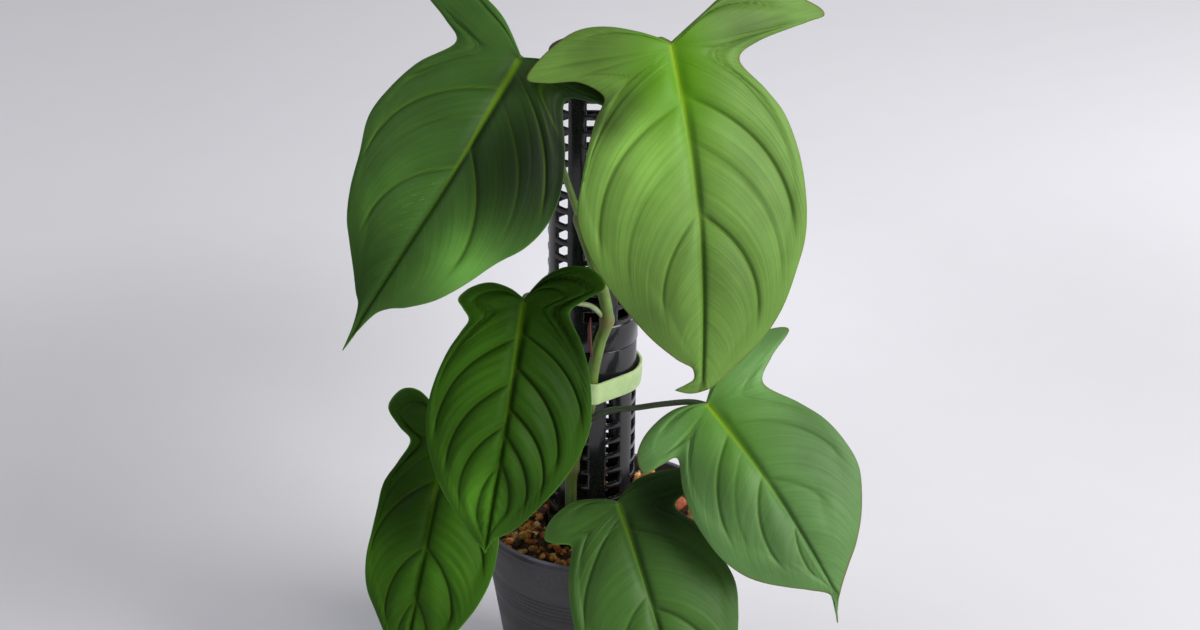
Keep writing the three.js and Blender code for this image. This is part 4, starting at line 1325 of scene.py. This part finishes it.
def loose_grains():
    """Grains strewn over the substrate in one mesh, each marked with its own tone."""
    deselect()
    bpy.ops.mesh.primitive_ico_sphere_add(subdivisions=1, radius=1)
    seed_grain = bpy.context.object
    shape = np.array([vertex.co[:] for vertex in seed_grain.data.vertices])
    faces = np.array([polygon.vertices[:] for polygon in seed_grain.data.polygons])
    bpy.data.objects.remove(seed_grain)
    draw = random.Random(7)
    places, corners, tones = [], [], []
    for _ in range(sizes().grains):
        radius = SUBSTRATE["spread"] * math.sqrt(draw.uniform(0.02, 1))
        angle = draw.uniform(0, 2 * math.pi)
        x, y = radius * math.cos(angle), radius * math.sin(angle)
        size = draw.choice(GRAIN_SIZES)
        from_pole = math.hypot(x - POLE["x"] - SUBSTRATE["pole_shift"], y)
        near_pole = abs(from_pole - SUBSTRATE["pole_wall"]) < SUBSTRATE["pole_clear"] + size
        near_vine = math.dist((x, y), SUBSTRATE["vine"]) < SUBSTRATE["vine_clear"] + size
        near_chip = math.dist((x, y), CHIP["place"][:2]) < SUBSTRATE["chip_clear"]
        if near_pole or near_vine or near_chip or radius + size > SUBSTRATE["radius"]:
            continue
        turn = (Matrix.Rotation(draw.uniform(0, 6.3), 3, "Z")
                @ Matrix.Rotation(draw.uniform(0, 6.3), 3, "X"))
        stretch = [draw.uniform(0.8, 1.4), draw.uniform(0.7, 1.0), draw.uniform(0.55, 0.9)]
        jitter = np.array([[draw.uniform(0.8, 1.2)] for _ in shape])
        rough = shape * jitter * stretch * size
        lift = draw.uniform(-0.1, 0.55) * size
        placed = rough @ np.array(turn).T + (x, y, soil_height(x, y) + lift)
        corners.append(faces + len(places) * len(shape))
        places.append(placed)
        tones += [draw.random()] * len(shape)
    mesh = bpy.data.meshes.new("grains")
    mesh.from_pydata((np.concatenate(places) * MM).tolist(), [], np.concatenate(corners).tolist())
    grains = bpy.data.objects.new("grains", mesh)
    bpy.context.collection.objects.link(grains)
    new_mark(grains, "grain").foreach_set("value", tones)
    return grains


def add_light(name, place, wide, high, power, tint):
    """A soft rectangular light, aimed at the plant."""
    bpy.ops.object.light_add(type="AREA", location=place)
    light = bpy.context.object
    light.name = name
    light.data.shape = "RECTANGLE"
    light.data.size = wide
    light.data.size_y = high
    light.data.energy = getattr(studio(), power)
    light.data.color = tint
    aim = Vector(PLANT_MIDDLE) - light.location
    light.rotation_euler = aim.to_track_quat("-Z", "Y").to_euler()


def room_light():
    """A world that is brighter towards the ceiling."""
    room = bpy.data.worlds.new("Soft room light")
    room.use_nodes = True
    tree = room.node_tree
    background = tree.nodes["Background"]
    background.inputs["Color"].default_value = ROOM_TINT
    upward = height_on(tree, node(tree, "ShaderNodeTexCoord").outputs["Generated"])
    ceiling = ranged(tree, upward, 0.1, 0.9, 0.45 * studio().sky, 1.5 * studio().sky)
    tree.links.new(ceiling, background.inputs["Strength"])
    return room


class PLANT_OT_pot(bpy.types.Operator):
    """Nursery pot with a rolled lip, faint rings and drainage holes"""

    bl_idname = "plant.pot"
    bl_label = "Pot"
    bl_options = {"REGISTER", "UNDO"}

    def execute(self, context):
        def outside(height):
            return POT["foot"] + (POT["under_lip"] - POT["foot"]) * height / POT["lip_from"]

        half, wall = POT["ring_half"], POT["wall"]
        profile = [(44.2, 0), (outside(0) - 0.9, 0), (outside(1.5) - 0.1, 0.8), (outside(2.4), 2.4)]
        for ring in POT_RINGS:
            profile += [(outside(ring - half), ring - half), (outside(ring) - POT["ring_depth"], ring),
                        (outside(ring + half), ring + half)]
        profile += [
            (outside(103), 103), (outside(106.3), 106.3), (63.1, 107.4), (63.3, 110.2), (63.5, 110.9),
            (64.7, 111.1), (65, 111.6), (65, 113.4), (64.75, 114.3), (64.1, 114.85), (63.4, 115),
            (62.7, 114.6), (62.2, 113.6), (61.4, 108), (outside(100) - wall, 100),
            (outside(6) - wall, 6), (outside(3.4) - wall - 0.6, 2.9), (42, 2.4),
        ]
        obj = turned(profile, 128)
        close_ring(obj, "fill")
        cutters = []
        for n in range(DRAINAGE["count"]):
            angle = n * 2 * math.pi / DRAINAGE["count"]
            away = DRAINAGE["from_centre"] * MM
            deselect()
            bpy.ops.mesh.primitive_cylinder_add(
                vertices=32, radius=DRAINAGE["radius"] * MM, depth=12 * MM,
                location=(away * math.cos(angle), away * math.sin(angle), 0))
            cutters.append(context.object)
        cutter = joined(cutters)
        modifier(obj, "Drainage", "BOOLEAN", object=cutter, operation="DIFFERENCE", solver="EXACT")
        bpy.data.objects.remove(cutter)
        smooth_by(obj, 30)
        paint(obj, plastic_material("Pot plastic", tuple(colours().pot_grey), gloss=0.42, dust=0.09,
                                    dust_scale=18.0, streak=(1, 1, 6), highlight_from=POT["highlight_from"] * MM))
        settle(obj, "nursery_pot", "pot")
        return {"FINISHED"}


class PLANT_OT_substrate(bpy.types.Operator):
    """Bark and clay grains that fill the pot"""

    bl_idname = "plant.substrate"
    bl_label = "Substrate"
    bl_options = {"REGISTER", "UNDO"}

    def execute(self, context):
        deselect()
        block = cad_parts["substrate"]
        obj = block.copy()
        obj.data = block.data.copy()
        context.collection.objects.link(obj)
        obj.parent = None
        obj.matrix_world = Matrix.Identity(4)
        obj.hide_set(False)
        obj.hide_render = False
        edit_all(obj, (bpy.ops.mesh.remove_doubles, {"threshold": 1e-5}))
        new_mark(obj, "grain").foreach_set("value", [0.05] * len(obj.data.vertices))
        grains = loose_grains()
        paint(obj, substrate_material())
        paint(grains, obj.data.materials[0])
        obj = joined([obj, grains])
        settle(obj, "bark_and_clay_grains", "substrate")
        return {"FINISHED"}


class PLANT_OT_clay_chip(bpy.types.Operator):
    """Red clay chip lying on the substrate"""

    bl_idname = "plant.clay_chip"
    bl_label = "Clay chip"
    bl_options = {"REGISTER", "UNDO"}

    def execute(self, context):
        deselect()
        bpy.ops.mesh.primitive_ico_sphere_add(subdivisions=3, radius=CHIP["radius"] * MM)
        obj = context.object
        for vertex in obj.data.vertices:
            chipped = noise.cell(vertex.co * 260) * 0.10 + noise.noise(vertex.co * 420) * 0.12
            vertex.co *= 0.96 + chipped * 0.5
        place = Matrix.Translation(Vector(CHIP["place"]) * MM)
        turn = Matrix.Rotation(CHIP["turn"], 4, "Z")
        obj.data.transform(place @ turn @ Matrix.Diagonal(CHIP["shape"]))
        modifier(obj, "Chipped faces", "BEVEL", width=0.15 * MM, segments=1, limit_method="ANGLE",
                 angle_limit=math.radians(25))
        smooth_by(obj, 25)
        paint(obj, clay_material())
        settle(obj, "red_clay_chip", "clay_chip")
        return {"FINISHED"}


class PLANT_OT_pole(bpy.types.Operator):
    """Two slotted tubes, the upper plugged into the lower"""

    bl_idname = "plant.pole"
    bl_label = "Pole"
    bl_options = {"REGISTER", "UNDO"}

    def execute(self, context):
        black = tuple(colours().pole_black)
        plastic = plastic_material("Pole plastic", black, gloss=0.15, dust=0.04, dust_scale=45.0,
                                   streak=(9, 9, 1))
        lower = leaning(slotted_tube(POLE["bottom"], POLE["joint"], LOWER_ROWS))
        smooth_by(lower, 40)
        paint(lower, plastic)
        settle(lower, "lower_slotted_pole", "pole_lower")

        foot = POLE["joint"] + 0.35
        upper = slotted_tube(foot + 0.4, POLE["top"], UPPER_ROWS)
        collar = turned([
            (22.8, foot), (23.3, foot), (23.5, foot + 0.3), (23.5, foot + 12.6), (23.35, foot + 13.3),
            (23.05, foot + 13.8), (22.8, foot + 13.8), (22.8, foot),
        ], 112)
        close_ring(collar)
        plug = turned([
            (17.85, 205), (19.7, 205), (20.05, 205.4), (20.05, foot + 0.5), (20.95, foot + 1),
            (20.95, foot + 2), (17.85, foot + 2), (17.85, 205),
        ], 112)
        close_ring(plug)
        upper = leaning(joined([upper, collar, plug]))
        smooth_by(upper, 40)
        paint(upper, plastic)
        settle(upper, "upper_slotted_pole", "pole_upper")
        return {"FINISHED"}


class PLANT_OT_vine(bpy.types.Operator):
    """Climbing stem with its swollen nodes and the dry remnant of a sheath"""

    bl_idname = "plant.vine"
    bl_label = "Vine"
    bl_options = {"REGISTER", "UNDO"}

    def execute(self, context):
        points = through([Vector(point) * MM for point in VINE], 150)
        heights = np.array([point.z / MM for point in points])
        joint = sum(bell(heights - z, 3.0) for z in VINE_NODES)
        scar = sum(bell(heights - z - 4.2, 0.7) for z in VINE_NODES)
        closing = np.clip((VINE_TOP - heights) / 4.5, 0.12, 1) ** 0.5
        radii = (sizes().vine_radius + (0.95 * joint - 0.22 * scar) * MM) * closing
        stem = stalk(points, radii, 6)
        marks = [sum(bell(vertex.co.z / MM - z, 4.0) for z in VINE_NODES)
                 for vertex in stem.data.vertices]
        new_mark(stem, "joint").foreach_set("value", marks)
        remnant = stalk([Vector(point) * MM for point in SHEATH],
                        [radius * MM for radius in SHEATH_RADII])
        new_mark(remnant, "joint")
        paint(stem, stem_material("Green stem", tuple(colours().stem_green), (0.19, 0.12, 0.05),
                                  DARKER_STEM_TOP * MM))
        paint(remnant, stem_material("Dry sheath", (0.12, 0.022, 0.018), (0.05, 0.015, 0.01)))
        stem = joined([stem, remnant])
        settle(stem, "climbing_stem", "vine")
        return {"FINISHED"}


class PLANT_OT_tie(bpy.types.Operator):
    """Soft band round the pole and the vine"""

    bl_idname = "plant.tie"
    bl_label = "Tie"
    bl_options = {"REGISTER", "UNDO"}

    def execute(self, context):
        outline = tie_outline(TIE["clearance"], 72)
        deselect()
        bpy.ops.mesh.primitive_circle_add(vertices=len(outline), radius=0.03, fill_type="NOTHING")
        obj = context.object
        for vertex, (x, y) in zip(obj.data.vertices, outline):
            vertex.co = (x * MM, y * MM, -TIE["width"] / 2 * MM)
        steps = 8
        bpy.ops.object.mode_set(mode="EDIT")
        for _ in range(steps):
            bpy.ops.mesh.extrude_region_move(
                TRANSFORM_OT_translate={"value": (0, 0, TIE["width"] / steps * MM)})
        bpy.ops.mesh.select_all(action="SELECT")
        bpy.ops.mesh.remove_doubles(threshold=1e-5)
        bpy.ops.mesh.normals_make_consistent(inside=False)
        bpy.ops.object.mode_set(mode="OBJECT")
        modifier(obj, "Cloth", "SOLIDIFY", thickness=TIE["thickness"] * MM, offset=1)
        modifier(obj, "Soft edges", "BEVEL", width=0.55 * MM, segments=3, limit_method="ANGLE",
                 angle_limit=math.radians(60))
        for vertex in obj.data.vertices:
            outwards = Vector((vertex.co.x, vertex.co.y, 0)).normalized()
            vertex.co += outwards * noise.noise(vertex.co * 130) * 0.3 * MM
        axis = POLE["x"] + TIE["height"] * math.tan(math.radians(POLE["lean"]))
        obj.data.transform(Matrix.Translation((axis * MM, 0, TIE["height"] * MM))
                           @ Matrix.Rotation(math.radians(TIE["tilt"]), 4, "Y"))
        smooth_by(obj, 60)
        paint(obj, tie_material())
        settle(obj, "soft_tie", "tie")
        return {"FINISHED"}


class PLANT_OT_leaves(bpy.types.Operator):
    """The six leaves with their veins, margins and petioles"""

    bl_idname = "plant.leaves"
    bl_label = "Leaves"
    bl_options = {"REGISTER", "UNDO"}

    def execute(self, context):
        stem = {
            "light": stem_material("Green petiole", tuple(colours().stem_green), (0.16, 0.12, 0.05)),
            # The dark petiole's colour is partly a darker green and partly painted shade.
            "dark": stem_material("Dark petiole", (0.045, 0.065, 0.03), (0.03, 0.03, 0.02)),
            "pale": stem_material("Pale petiole", (0.40, 0.50, 0.25), (0.25, 0.24, 0.12)),
        }
        faces = {}
        for name, leaf in LEAVES.items():
            green = leaf["green"]
            if green not in faces:
                title = green.replace("_", " ")
                faces[green] = (leaf_material("Leaf " + title, green),
                                leaf_material("Underside " + title, green, upper=False))
            sheet = blade(leaf)
            paint(sheet, *faces[green])
            thicken(sheet, sizes().blade_thickness)
            ribs = under_ribs(leaf)
            for rib in ribs:
                paint(rib, stem["light"])
            stalk_piece = petiole(leaf)
            paint(stalk_piece, stem[leaf.get("stalk", ("light", 1))[0]])
            obj = joined([sheet, *ribs, stalk_piece])
            settle(obj, name.replace("leaf_", "blade_"), name)
        return {"FINISHED"}


class PLANT_OT_studio(bpy.types.Operator):
    """Pale floor, soft lights and the camera"""

    bl_idname = "plant.studio"
    bl_label = "Studio"
    bl_options = {"REGISTER", "UNDO"}

    def execute(self, context):
        deselect()
        bpy.ops.mesh.primitive_plane_add(size=FLOOR_SIZE)
        floor = context.object
        floor.name = "pale_floor"
        paint(floor, floor_material())

        for light in LIGHTS:
            add_light(*light)
        context.scene.world = room_light()
        context.scene.view_settings.view_transform = "Standard"

        pitch = math.pi / 2 - studio().pitch
        bpy.ops.object.camera_add(location=studio().camera_place, rotation=(pitch, 0, 0))
        camera = context.object
        camera.name = "photo_camera"
        camera.data.lens = studio().lens
        camera.data.sensor_width = SENSOR_WIDTH
        context.scene.camera = camera
        return {"FINISHED"}


BUILD_ORDER = (
    PLANT_OT_pot, PLANT_OT_substrate, PLANT_OT_clay_chip, PLANT_OT_pole,
    PLANT_OT_vine, PLANT_OT_tie, PLANT_OT_leaves, PLANT_OT_studio,
)


class VIEW3D_PT_plant(bpy.types.Panel):
    """The plant's settings, and a button for each step"""

    bl_label = "Potted philodendron"
    bl_space_type = "VIEW_3D"
    bl_region_type = "UI"
    bl_category = "Philodendron"

    def draw(self, context):
        scene = context.scene
        for title, group in (("Sizes", scene.plant_sizes), ("Colours", scene.plant_colours),
                             ("Studio", scene.plant_studio)):
            box = self.layout.box()
            box.label(text=title)
            for key in group.__annotations__:
                box.prop(group, key)
        for operator in BUILD_ORDER:
            self.layout.operator(operator.bl_idname)


CLASSES = (PlantSizes, PlantColours, StudioSettings, *BUILD_ORDER, VIEW3D_PT_plant)


def register():
    for made in CLASSES:
        bpy.utils.register_class(made)
    bpy.types.Scene.plant_sizes = bpy.props.PointerProperty(type=PlantSizes)
    bpy.types.Scene.plant_colours = bpy.props.PointerProperty(type=PlantColours)
    bpy.types.Scene.plant_studio = bpy.props.PointerProperty(type=StudioSettings)


def unregister():
    del bpy.types.Scene.plant_studio
    del bpy.types.Scene.plant_colours
    del bpy.types.Scene.plant_sizes
    for made in reversed(CLASSES):
        bpy.utils.unregister_class(made)


def main():
    register()
    bpy.ops.plant.pot()
    bpy.ops.plant.substrate()
    bpy.ops.plant.clay_chip()
    bpy.ops.plant.pole()
    bpy.ops.plant.vine()
    bpy.ops.plant.tie()
    bpy.ops.plant.leaves()
    bpy.ops.plant.studio()


if __name__ == "__main__":
    main()
